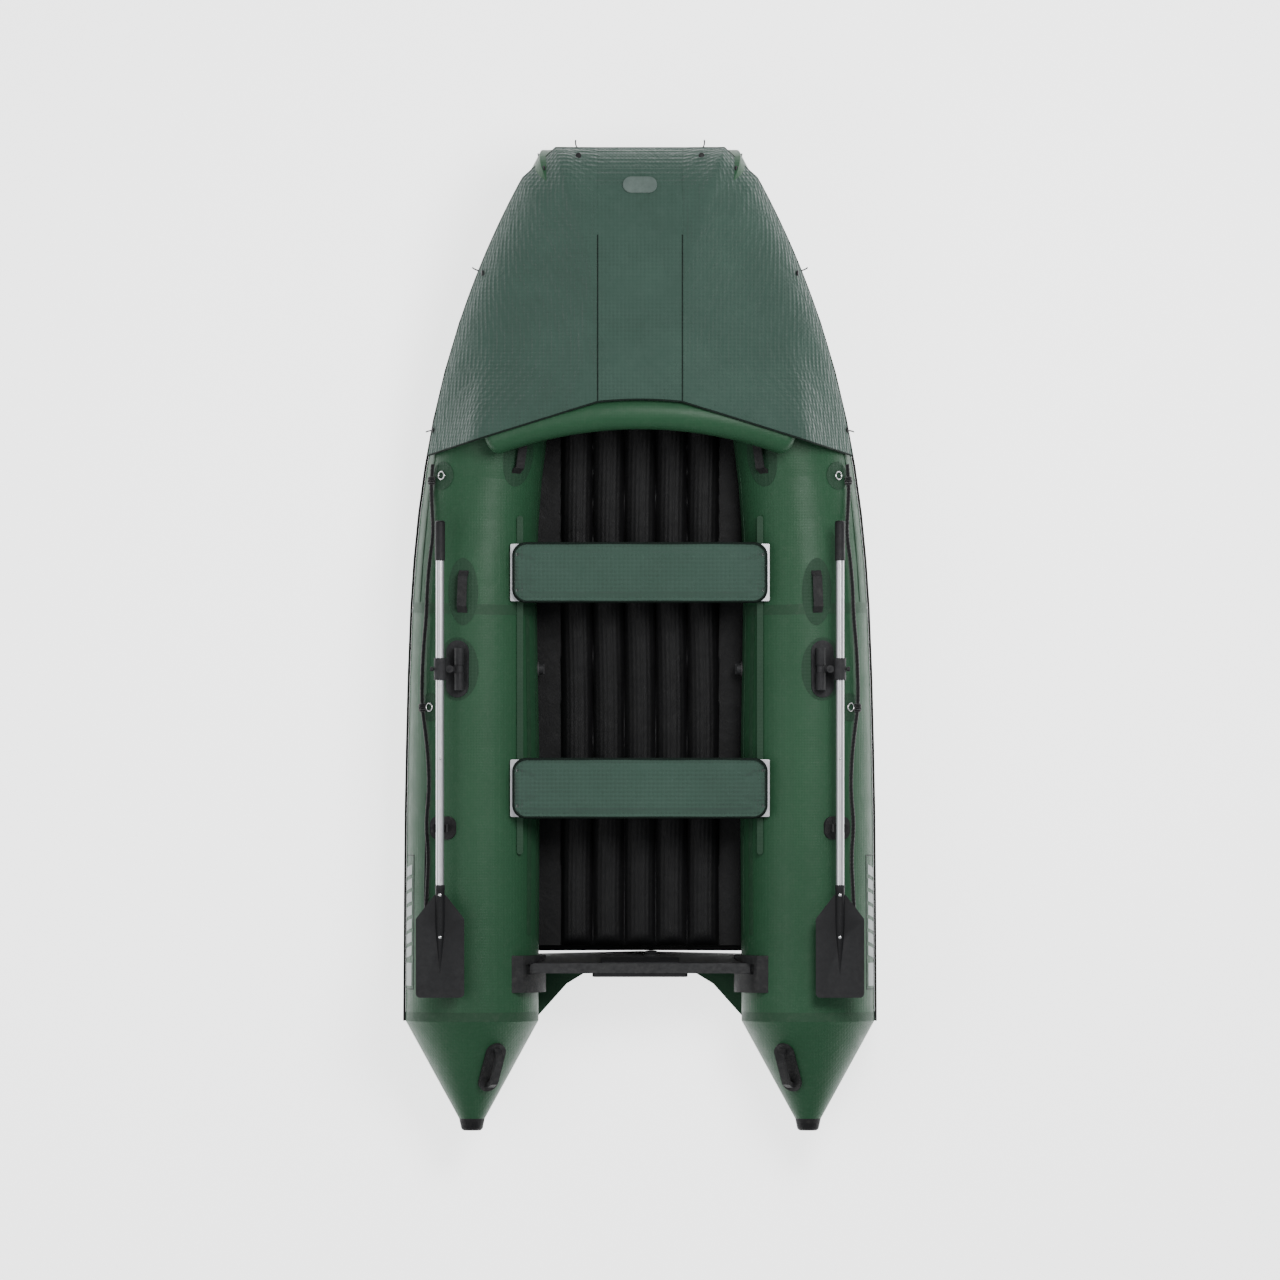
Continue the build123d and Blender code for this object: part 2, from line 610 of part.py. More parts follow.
def dodger_row(v):
    """One line of cloth from the seam out to the hem; v runs from the rear edge to the nose."""
    fan = max(v - 0.7, 0) / 0.3
    along = min(v / 0.7, 1)
    if fan == 0:
        y = EDGE_CORNER_Y + (NOSE_Y - EDGE_CORNER_Y) * along
        axis = Vector(axis_x(y), y, axis_z(y))
        climb = tangent(y).Z
        radius = tube_r(y)
    else:
        axis = Vector(CORNER.X + (SEAM_X + FIT - CORNER.X) * fan, NOSE_Y, CORNER.Z)
        climb = SIDE_DIR.Z
        radius = TUBE_R_BOW
    seam_y = EDGE_MID_Y - 8 + (NOSE_Y - 110 - EDGE_MID_Y) * v
    seam = Vector(SEAM_X + FIT, seam_y, seam_height(seam_y))
    out = Vector(axis.X - seam.X, axis.Y - seam.Y, 0)
    span = out.length
    out = out.normalized()
    bearing = math.degrees(math.atan2(out.Y, out.X))
    lean = bearing - math.degrees(heading(axis.Y))
    lean = min(lean, 90 - bearing) if fan else lean
    # a line of cloth that leans forward crosses the tube where it stands higher
    shear = math.sin(math.radians(lean)) * climb / math.sqrt(1 - climb**2)
    upright = math.sqrt(1 - climb**2)
    squash = (math.cos(math.radians(lean)), upright + (1 - upright) * ease(fan))
    radius += DODGER_GAP
    touch = cloth_over(axis.Z, squash, radius, -span, seam.Z, 1)[0]
    lift = 1 - ease(v / 0.3)
    shoulder = (touch[0] - 40 * lift, touch[1] + 122 * lift)
    straight = []
    for i in range(6):
        f = i / 6
        crown = 16 * lift * 4 * f * (1 - f)
        straight.append((-span + (shoulder[0] + span) * f, seam.Z + (shoulder[1] - seam.Z) * f + crown))
    if lift > 0:
        wrap = [shoulder] + cloth_over(axis.Z, squash, radius, *shoulder, 6)
    else:
        wrap = cloth_over(axis.Z, squash, radius, -span, seam.Z, 7)
    line = [(d, z + max(d, 0) * shear) for d, z in straight + wrap]
    upright_plane = Plane(origin=(axis.X, axis.Y, 0), x_dir=out, z_dir=(out.Y, -out.X, 0))
    return upright_plane, line


def centre_row(x):
    """One line of cloth from the rear edge forward over the nose to the hem."""
    edge_y = EDGE_MID_Y - 8 * (x / SEAM_X) ** 2
    rear_z = ARCH_MID_Z - 6 * (x / SEAM_X) ** 2 + ARCH_CLEAR
    wrap = cloth_over(CORNER.Z, (1, 1), TUBE_R_BOW + DODGER_GAP, edge_y - NOSE_Y, rear_z, 7)
    first = wrap[0]
    rows = []
    for i in range(7):
        f = i / 7
        rows.append((edge_y - NOSE_Y + (first[0] - edge_y + NOSE_Y) * f, rear_z + (first[1] - rear_z) * f))
    return Plane(origin=(x, NOSE_Y, 0), x_dir=(0, 1, 0), z_dir=(1, 0, 0)), rows + wrap


def evenly(line, count):
    """The same line with its points a constant distance apart."""
    lengths = [0.0]
    for a, b in zip(line, line[1:]):
        lengths.append(lengths[-1] + math.dist(a, b))
    points = []
    for s in spaced(0, lengths[-1], count):
        k = max(i for i in range(len(line) - 1) if lengths[i] <= s)
        f = min((s - lengths[k]) / (lengths[k + 1] - lengths[k]), 1)
        points.append(tuple(p + (q - p) * f for p, q in zip(line[k], line[k + 1])))
    return points


def cloth_panel(sections):
    """A panel through upright sections; each is a line of cloth and the same line DODGER_T further out."""
    outlines = []
    for plane, line in sections:
        inner = evenly(line, CLOTH_POINTS)
        outer = []
        for i, (d, z) in enumerate(inner):
            a, b = inner[max(i - 1, 0)], inner[min(i + 1, CLOTH_POINTS - 1)]
            step = math.dist(a, b)
            outer.append((d - (b[1] - a[1]) / step * DODGER_T, z + (b[0] - a[0]) / step * DODGER_T))
        outline = [plane.from_local_coords(Vector(d, z, 0)) for d, z in [*inner, *reversed(outer)]]
        outlines.append(Wire.make_polygon(outline, close=True))
    return Solid.make_loft(outlines, ruled=True)


panels = [cloth_panel([centre_row(x) for x in spaced(-SEAM_X + FIT, SEAM_X - FIT, 5)])]
side_panel = cloth_panel([dodger_row(v) for v in spaced(0, 1, 16)])
panels += [side_panel, side_panel.mirror(Plane.YZ)]

dodger = Compound(panels)
dodger.label = "dodger"
export_step(dodger, "parts/dodger.step")

# ---------- oarlocks and oars ----------
OAR_X = 710.0
OAR_Z = 540.0
OAR_FRONT_Y = 424.0
GRIP_L = 142.0
GRIP_R = 18.0
SHAFT_R = 14.5
SHAFT_WALL = 1.5
JOINT_Y = -460.0           # where the two halves of the shaft meet
SPIGOT_L = 90.0
NECK_Y = -870.0
BLADE_TOP_Y = -905.0
BLADE_L = 365.0
BLADE_W = 172.0
BLADE_T = 6.0
BUTTON_R = 4.0
BUTTON_Y = JOINT_Y + 38
LOCK_X = 648.0
LOCK_Y = -103.0
LOCK_PAD_L = 203.0
LOCK_PAD_W = 82.0
BARREL_R = 17.0
BARREL_Z = OAR_Z - 40
COLLAR_L = 24.0
SLEEVE_R = 21.5
SLEEVE_L = 78.0
PIN_R = 6.0
PIN_X = OAR_X - 34
HOLDER_Y = -668.0
BARREL_X = LOCK_X - 6

with BuildPart() as oarlock_pads:
    for side in SIDES.values():
        skin = on_tube(side, LOCK_Y, angle_at(LOCK_X, LOCK_Y))
        with BuildSketch(skin.offset(-8)):
            SlotOverall(LOCK_PAD_L, LOCK_PAD_W)
        extrude(amount=14)
        for end in (1, -1):
            with BuildSketch(Plane.XZ.offset(-(LOCK_Y + end * (COLLAR_L / 2 + RUN / 2)))):
                with Locations((side * BARREL_X, BARREL_Z)):
                    Circle(BARREL_R)
                with Locations((side * BARREL_X, BARREL_Z)):
                    Rectangle(2 * BARREL_R, 45, align=(Align.CENTER, Align.MAX))
            extrude(amount=-end * 62)
        with BuildSketch(Plane.XZ.offset(-LOCK_Y - COLLAR_L)):
            with Locations((side * BARREL_X, BARREL_Z)):
                Circle(7)
        extrude(amount=2 * COLLAR_L)
    cut_to_hull()
save(oarlock_pads, "oarlock_pads")

for name, side in SIDES.items():
    with BuildPart() as oarlock_arm:
        with BuildSketch(Plane.XZ.offset(-LOCK_Y - COLLAR_L / 2)):
            with Locations((side * BARREL_X, BARREL_Z)):
                Circle(BARREL_R - 3)
                Circle(7 + FIT, mode=Mode.SUBTRACT)
        extrude(amount=COLLAR_L)
        reach = PIN_X - BARREL_X - BARREL_R + 6
        with BuildSketch(Plane.XY.offset(BARREL_Z - 6)):
            with Locations((side * (PIN_X - reach / 2), LOCK_Y)):
                Rectangle(reach, COLLAR_L - 4)
            with Locations((side * PIN_X, LOCK_Y)):
                Circle(COLLAR_L / 2 - 2)
        extrude(amount=10)
        with BuildSketch(Plane.XY.offset(BARREL_Z + 4)):
            with Locations((side * PIN_X, LOCK_Y)):
                Circle(PIN_R)
        extrude(amount=50)
    save(oarlock_arm, f"{name}_oarlock_arm")

    with BuildPart() as oar_sleeve:
        with BuildSketch(Plane.XZ.offset(-LOCK_Y - SLEEVE_L / 2)):
            with Locations((side * OAR_X, OAR_Z)):
                Circle(SLEEVE_R)
        extrude(amount=SLEEVE_L)
        with BuildSketch(Plane.XY.offset(BARREL_Z + 4 + FIT)):
            with Locations((side * PIN_X, LOCK_Y)):
                Circle(PIN_R + 7)
        extrude(amount=44)
        with BuildSketch(Plane.XY.offset(BARREL_Z)):
            with Locations((side * PIN_X, LOCK_Y)):
                Circle(PIN_R + FIT / 2)
        extrude(amount=60, mode=Mode.SUBTRACT)
        with BuildSketch(Plane.XZ.offset(-LOCK_Y - SLEEVE_L / 2)):
            with Locations((side * OAR_X, OAR_Z)):
                Circle(SHAFT_R + FIT)
        extrude(amount=SLEEVE_L, mode=Mode.SUBTRACT)
        with BuildSketch(Plane.YZ.offset(side * OAR_X)):
            with Locations((LOCK_Y, OAR_Z)):
                Circle(4 + FIT)
        extrude(amount=side * 40, mode=Mode.SUBTRACT)
    save(oar_sleeve, f"{name}_oar_sleeve")

    with BuildPart() as wing_screw:
        with BuildSketch(Plane.YZ.offset(side * (OAR_X + SHAFT_R + 1))):
            with Locations((LOCK_Y, OAR_Z)):
                Circle(4)
        extrude(amount=side * 14)
        with BuildSketch(Plane.YZ.offset(side * (OAR_X + SLEEVE_R + 2))):
            with Locations((LOCK_Y, OAR_Z)):
                Circle(8)
                Rectangle(7, 34)
        extrude(amount=side * 12)
        fillet(wing_screw.edges().filter_by(Axis.X), radius=1.2)
    save(wing_screw, f"{name}_wing_screw")

    oar_end = Plane(origin=(side * OAR_X, OAR_FRONT_Y, OAR_Z), x_dir=(1, 0, 0), z_dir=(0, -1, 0))
    with BuildPart() as oar_grip:
        with BuildSketch(oar_end):
            Circle(GRIP_R)
        extrude(amount=GRIP_L)
        fillet(oar_grip.edges().sort_by(Axis.Y)[-1], radius=8)
        with BuildSketch(oar_end.offset(12)):
            Circle(SHAFT_R + FIT / 2)
        extrude(amount=GRIP_L, mode=Mode.SUBTRACT)
    save(oar_grip, f"{name}_oar_grip")

    with BuildPart() as oar_upper_shaft:
        with BuildSketch(oar_end.offset(12 + FIT)):
            Circle(SHAFT_R)
            Circle(SHAFT_R - SHAFT_WALL, mode=Mode.SUBTRACT)
        extrude(amount=OAR_FRONT_Y - JOINT_Y - 12 - FIT)
        with BuildSketch(Plane.XY.offset(OAR_Z)):
            with Locations((side * OAR_X, BUTTON_Y)):
                Circle(BUTTON_R + FIT)
        extrude(amount=40, mode=Mode.SUBTRACT)
    save(oar_upper_shaft, f"{name}_oar_upper_shaft")

    joint_end = oar_end.offset(OAR_FRONT_Y - JOINT_Y)
    spigot_r = SHAFT_R - SHAFT_WALL - FIT
    with BuildPart() as oar_lower_shaft:
        with BuildSketch(joint_end.offset(FIT)):
            Circle(SHAFT_R)
        extrude(amount=JOINT_Y - NECK_Y + 50)
        with BuildSketch(joint_end.offset(-SPIGOT_L)):
            Circle(spigot_r)
        extrude(amount=SPIGOT_L + FIT)
        with BuildSketch(joint_end.offset(-SPIGOT_L)):
            Circle(spigot_r - SHAFT_WALL)
        extrude(amount=JOINT_Y - NECK_Y + 50 + SPIGOT_L + FIT, mode=Mode.SUBTRACT)
        with BuildSketch(Plane.XY.offset(OAR_Z)):
            with Locations((side * OAR_X, BUTTON_Y)):
                Circle(BUTTON_R + FIT)
        extrude(amount=40, mode=Mode.SUBTRACT)
    save(oar_lower_shaft, f"{name}_oar_lower_shaft")

    with BuildPart() as snap_button:
        with BuildSketch(Plane.XY.offset(OAR_Z + 3)):
            with Locations((side * OAR_X, BUTTON_Y)):
                Circle(BUTTON_R)
        extrude(amount=SHAFT_R + 1)
        fillet(snap_button.edges().sort_by(Axis.Z)[-1], radius=2)
    save(snap_button, f"{name}_snap_button")

    with BuildPart() as oar_blade:
        with BuildSketch(oar_end.offset(OAR_FRONT_Y - NECK_Y)):
            Circle(SHAFT_R + 3)
        extrude(amount=NECK_Y - BLADE_TOP_Y + 170, taper=2)
        with BuildSketch(Plane.XY.offset(OAR_Z - BLADE_T / 2)):
            half = BLADE_W / 2
            top = BLADE_TOP_Y
            foot = BLADE_TOP_Y - BLADE_L
            x0 = side * OAR_X
            Polygon(
                (x0 - 20, top), (x0 + 20, top), (x0 + half, top - 85), (x0 + half, foot),
                (x0 - half, foot), (x0 - half, top - 85), align=None,
            )
            fillet(vertices().sort_by(Axis.Y)[:4], radius=16)
        extrude(amount=BLADE_T)
        with BuildSketch(oar_end.offset(OAR_FRONT_Y - NECK_Y)):
            Circle(SHAFT_R + FIT / 2)
        extrude(amount=50 + FIT, mode=Mode.SUBTRACT)
    save(oar_blade, f"{name}_oar_blade")

holder_solids = []
for side in SIDES.values():
    skin = on_tube(side, HOLDER_Y, angle_at(OAR_X - 10, HOLDER_Y))
    cradle_z = OAR_Z - SHAFT_R - 2 * RUN
    base_z = tube_top(OAR_X, HOLDER_Y) - 4
    with BuildPart() as oar_holder:
        with BuildSketch(skin.offset(-8)):
            RectangleRounded(82, 100, 30)
        extrude(amount=14)
        with Locations((side * (OAR_X - 6), HOLDER_Y, (base_z + cradle_z) / 2)):
            Box(26, 28, cradle_z - base_z)
        with Locations((side * OAR_X, HOLDER_Y, cradle_z - 4)):
            Box(56, 28, 8)
        with Locations((side * (OAR_X - 24), HOLDER_Y, cradle_z + 6)):
            Box(6, 28, 20)
        outer_x = side * (OAR_X + 27)
        with Locations((outer_x, HOLDER_Y - 10, cradle_z - 4), (outer_x, HOLDER_Y + 10, cradle_z - 4)):
            Cylinder(6, 11)
        add(HULL_CUT[side], mode=Mode.SUBTRACT)
    holder_solids.append(oar_holder.part.solid())
with BuildPart() as oar_holders:
    add(holder_solids)
save(oar_holders, "oar_holders")

# ---------- valves, rings, badge ----------
VALVE_R = 28.0
VALVE_CAP_R = 21.0
VALVE_CAP_L = 14.0
VALVE_FLANGE_T = 5.0
RING_PATCH_R = 50.0
RING_PATCH_T = 1.6
RING_R = 14.0
RING_WIRE_R = 2.5
RING_SPOTS = ((705.0, 567.0), (746.0, -239.0), (737.0, -1066.0))

valve_depth = axis_x(VALVE_Y) - tube_r(VALVE_Y)


def valve_face(side, out):
    centre = (side * (valve_depth - out), VALVE_Y, axis_z(VALVE_Y))
    return Plane(origin=centre, x_dir=(0, 1, 0), z_dir=(-side, 0, 0))


with BuildPart() as valve_bodies:
    for side in SIDES.values():
        with BuildSketch(valve_face(side, -4)):
            Circle(VALVE_R)
        extrude(amount=4 + VALVE_FLANGE_T)
        with BuildSketch(valve_face(side, FIT + 1.5)):
            Circle(VALVE_CAP_R - 5)
        extrude(amount=VALVE_FLANGE_T, mode=Mode.SUBTRACT)
        with BuildSketch(valve_face(side, -6)):
            Circle(VALVE_PIN_R + FIT)
        extrude(amount=20, mode=Mode.SUBTRACT)
    cut_to_hull()
save(valve_bodies, "valve_bodies")

for name, side in SIDES.items():
    with BuildPart() as valve_cap:
        with BuildSketch(valve_face(side, VALVE_FLANGE_T + FIT)):
            Circle(VALVE_CAP_R)
        extrude(amount=VALVE_CAP_L)
        with BuildSketch(valve_face(side, VALVE_FLANGE_T + VALVE_CAP_L + FIT)):
            Rectangle(2 * VALVE_CAP_R - 6, 6)
        extrude(amount=5)
        with BuildSketch(valve_face(side, VALVE_FLANGE_T)):
            Circle(VALVE_CAP_R - 3)
        extrude(amount=VALVE_CAP_L - 2, mode=Mode.SUBTRACT)
    save(valve_cap, f"{name}_valve_cap")

    with BuildPart() as valve_pin:
        with BuildSketch(valve_face(side, 0.5)):
            Circle(VALVE_PIN_R)
        extrude(amount=9)
        fillet(valve_pin.edges().filter_by(GeomType.CIRCLE), radius=0.8)
    save(valve_pin, f"{name}_valve_pin")

HULL_PATCH = {side: tube_solid(side, HULL_YS, FIT + RING_PATCH_T) for side in (1, -1)}
patch_solids = []
ring_solids = []
for side in SIDES.values():
    for x, y in RING_SPOTS:
        skin = on_tube(side, y, angle_at(x, y))
        with BuildPart() as ring_patch:
            with BuildSketch(skin.offset(-25)):
                Circle(RING_PATCH_R)
            extrude(amount=50)
            add(HULL_PATCH[side], mode=Mode.INTERSECT)
            add(HULL_CUT[side], mode=Mode.SUBTRACT)
        patch_solids.append(ring_patch.part.solid())
        with BuildPart() as d_ring:
            with Locations(skin.offset(RING_PATCH_T + FIT + RING_WIRE_R + 1.5)):
                Torus(RING_R, RING_WIRE_R)
        ring_solids.append(d_ring.part.solid())
with BuildPart() as d_ring_patches:
    add(patch_solids)
save(d_ring_patches, "d_ring_patches")
with BuildPart() as d_rings:
    add(ring_solids)
save(d_rings, "d_rings")

with BuildPart() as bow_badge:
    badge_y = NOSE_Y + 58
    badge_turn = math.asin((badge_y - NOSE_Y) / (TUBE_R_BOW + DODGER_GAP + DODGER_T))
    badge_r = TUBE_R_BOW + DODGER_GAP + DODGER_T + 0.6
    badge_normal = Vector(0, math.sin(badge_turn), math.cos(badge_turn))
    badge_at = Vector(0, NOSE_Y, CORNER.Z) + badge_normal * badge_r
    with BuildSketch(Plane(origin=badge_at, x_dir=(1, 0, 0), z_dir=badge_normal)):
        SlotOverall(121, 60)
    extrude(amount=3)
save(bow_badge, "bow_badge")

# ---------- lifelines ----------
ROPE_R = 7.0
ROPE_LIFT = 2.2            # the rope stands this much further out, over the rings
ROPE_ROUTE = (
    (738.0, 625.0), (744.0, 560.0), (741.0, 478.0), (735.0, 380.0), (748.0, 290.0),
    (757.0, 190.0), (760.0, 85.0), (771.0, -30.0), (776.0, -150.0), (776.0, -238.0), (763.0, -330.0),
    (753.0, -430.0), (750.0, -540.0), (762.0, -655.0), (752.0, -765.0), (757.0, -868.0), (762.0, -970.0),
    (768.0, -1050.0),
)


def rope_points(side):
    """The route lies on the tube's shoulder, its height worked out from the skin."""
    points = []
    for x, y in ROPE_ROUTE:
        turn = heading(y)
        reach = tube_r(y) + ROPE_R + RUN + RING_PATCH_T + ROPE_LIFT
        lean = math.acos(min((x - axis_x(y)) * math.cos(turn) / reach, 1.0))
        points.append(Vector(side * x, y, axis_z(y) + reach * math.sin(lean)))
    return points


def rope_radii(points):
    radii = []
    for a, b, c in zip(points, points[1:], points[2:]):
        turn = math.radians((b - a).get_angle(c - b))
        radii.append(0.45 * min((b - a).length, (c - b).length) / math.tan(turn / 2))
    return radii


for name, side in SIDES.items():
    points = rope_points(side)
    radii = rope_radii(points)
    print(name, "lifeline bend radii", [round(r) for r in radii])
    with BuildPart() as lifeline:
        with BuildLine():
            route = FilletPolyline(*points, radius=radii)
        with BuildSketch(Plane(origin=route @ 0, z_dir=route % 0)):
            Circle(ROPE_R)
        sweep(path=route)
    drawn = math.pi * ROPE_R**2 * route.length
    ratio = lifeline.part.volume / drawn
    print(name, "lifeline length", round(route.length), "volume ratio", round(ratio, 4))
    save(lifeline, f"{name}_lifeline")
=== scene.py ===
import bpy
import math
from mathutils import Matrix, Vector


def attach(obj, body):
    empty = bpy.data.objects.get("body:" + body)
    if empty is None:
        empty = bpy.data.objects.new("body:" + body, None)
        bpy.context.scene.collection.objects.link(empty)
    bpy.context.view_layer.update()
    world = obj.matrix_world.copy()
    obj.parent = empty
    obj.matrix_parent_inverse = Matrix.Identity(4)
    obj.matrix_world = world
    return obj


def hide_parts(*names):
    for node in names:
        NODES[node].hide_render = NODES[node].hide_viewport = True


# Inflatable motor dinghy. Metres, Z up, Y to the bow, X to starboard, as in the CAD frame.
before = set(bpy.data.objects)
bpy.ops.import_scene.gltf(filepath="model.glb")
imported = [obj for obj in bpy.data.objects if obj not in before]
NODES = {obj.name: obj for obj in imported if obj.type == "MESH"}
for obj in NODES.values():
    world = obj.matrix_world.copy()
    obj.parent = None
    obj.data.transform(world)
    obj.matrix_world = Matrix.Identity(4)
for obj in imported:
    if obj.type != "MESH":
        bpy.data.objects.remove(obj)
bpy.ops.object.select_all(action="DESELECT")
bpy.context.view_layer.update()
SIDES = {"port": -1, "starboard": 1}

# ---------- hull sizes, as in the CAD part ----------
R_STERN, R_BOW = 0.237, 0.188          # tube radius aft and at the bow
BEND_Y, BEND_POWER, BEND_IN = -0.250, 2.95, 0.352    # the side tubes' curve in towards the bow
FLARE, TAPER_Y, SHEER_Y, RISE = 0.007, -0.750, 0.472, 0.260
CONE_Y, NOSE_Y, AXIS_X = -1.358, 1.5534, 0.5924
SLOPE_STEP = 0.001                     # step for slopes along a tube
RAIL_X = 0.427
SEAT_Z = R_STERN + math.sqrt(R_STERN**2 - (AXIS_X + FLARE - RAIL_X) ** 2)
ARCH_Z = 0.600


def ease(t):
    t = min(max(t, 0.0), 1.0)
    return t * t * (3 - 2 * t)


def axis_x(y):
    flare = FLARE * min(max((BEND_Y - y) / (BEND_Y - CONE_Y), 0), 1)
    return AXIS_X + flare - BEND_IN * max((y - BEND_Y) / (NOSE_Y - BEND_Y), 0) ** BEND_POWER


def tube_r(y):
    return R_STERN - (R_STERN - R_BOW) * ease((y - TAPER_Y) / (NOSE_Y - TAPER_Y))


def axis_z(y):
    low = min(y, SHEER_Y)
    level = SEAT_Z - math.sqrt(tube_r(low) ** 2 - (axis_x(low) - RAIL_X) ** 2)
    return level + RISE * max((y - SHEER_Y) / (NOSE_Y - SHEER_Y), 0) ** 2


def heading(y):
    return math.atan((axis_x(y - SLOPE_STEP) - axis_x(y)) / SLOPE_STEP) if y > BEND_Y else 0.0


def tangent(y):
    climb = (axis_z(y + SLOPE_STEP) - axis_z(y)) / SLOPE_STEP if y > SHEER_Y else 0.0
    return Vector((-math.sin(heading(y)), math.cos(heading(y)), climb)).normalized()


def on_skin(side, y, degrees, lift=0.0):
    """A point on a side tube; 0 degrees is outboard, 90 on top and 180 inboard."""
    out = Vector((math.cos(heading(y)), math.sin(heading(y)), 0))
    up = out.cross(tangent(y))
    turn = math.radians(degrees)
    p = Vector((axis_x(y), y, axis_z(y))) + (tube_r(y) + lift) * (math.cos(turn) * out + math.sin(turn) * up)
    return Vector((p.x * side, p.y, p.z))


def skin_turn(x, y):
    """The angle round the tube, in degrees, of a spot seen from above at x."""
    return math.degrees(math.acos(min(max((x - axis_x(y)) * math.cos(heading(y)) / tube_r(y), -1), 1)))


# ---------- camera, light and floor ----------
camera_data = bpy.data.cameras.new("camera")
camera_data.lens = 473.0
camera_data.sensor_width = 36.0
camera_data.clip_end = 300.0
camera = bpy.data.objects.new("camera", camera_data)
camera.location = (0, 0.0, 60.24)
bpy.context.scene.collection.objects.link(camera)
bpy.context.scene.camera = camera


def lamp(name, place, aim, size, power):
    data = bpy.data.lights.new(name, "AREA")
    data.shape = "DISK"
    data.size = size
    data.energy = power
    light = bpy.data.objects.new(name, data)
    light.location = place
    light.rotation_euler = (Vector(aim) - Vector(place)).to_track_quat("-Z", "Y").to_euler()
    light.visible_camera = False
    bpy.context.scene.collection.objects.link(light)


lamp("key_light", (1.6, 1.8, 5.5), (0, 0, 0.3), 2.6, 330)
lamp("fill_light", (-3.5, -1.0, 5.0), (0, 0, 0.3), 4.0, 110)
world = bpy.data.worlds.new("studio")
world.use_nodes = True
world.node_tree.nodes["Background"].inputs["Color"].default_value = (0.95, 0.97, 1.0, 1)
world.node_tree.nodes["Background"].inputs["Strength"].default_value = 0.55
bpy.context.scene.world = world

bpy.ops.mesh.primitive_plane_add(size=14, location=(0, 0, -0.001))
ground = bpy.context.object
ground.name = "studio_floor"


# ---------- materials ----------
WAVES_PER_SCALE = 20
SPECULAR, METAL_SPECULAR = 0.14, 0.5


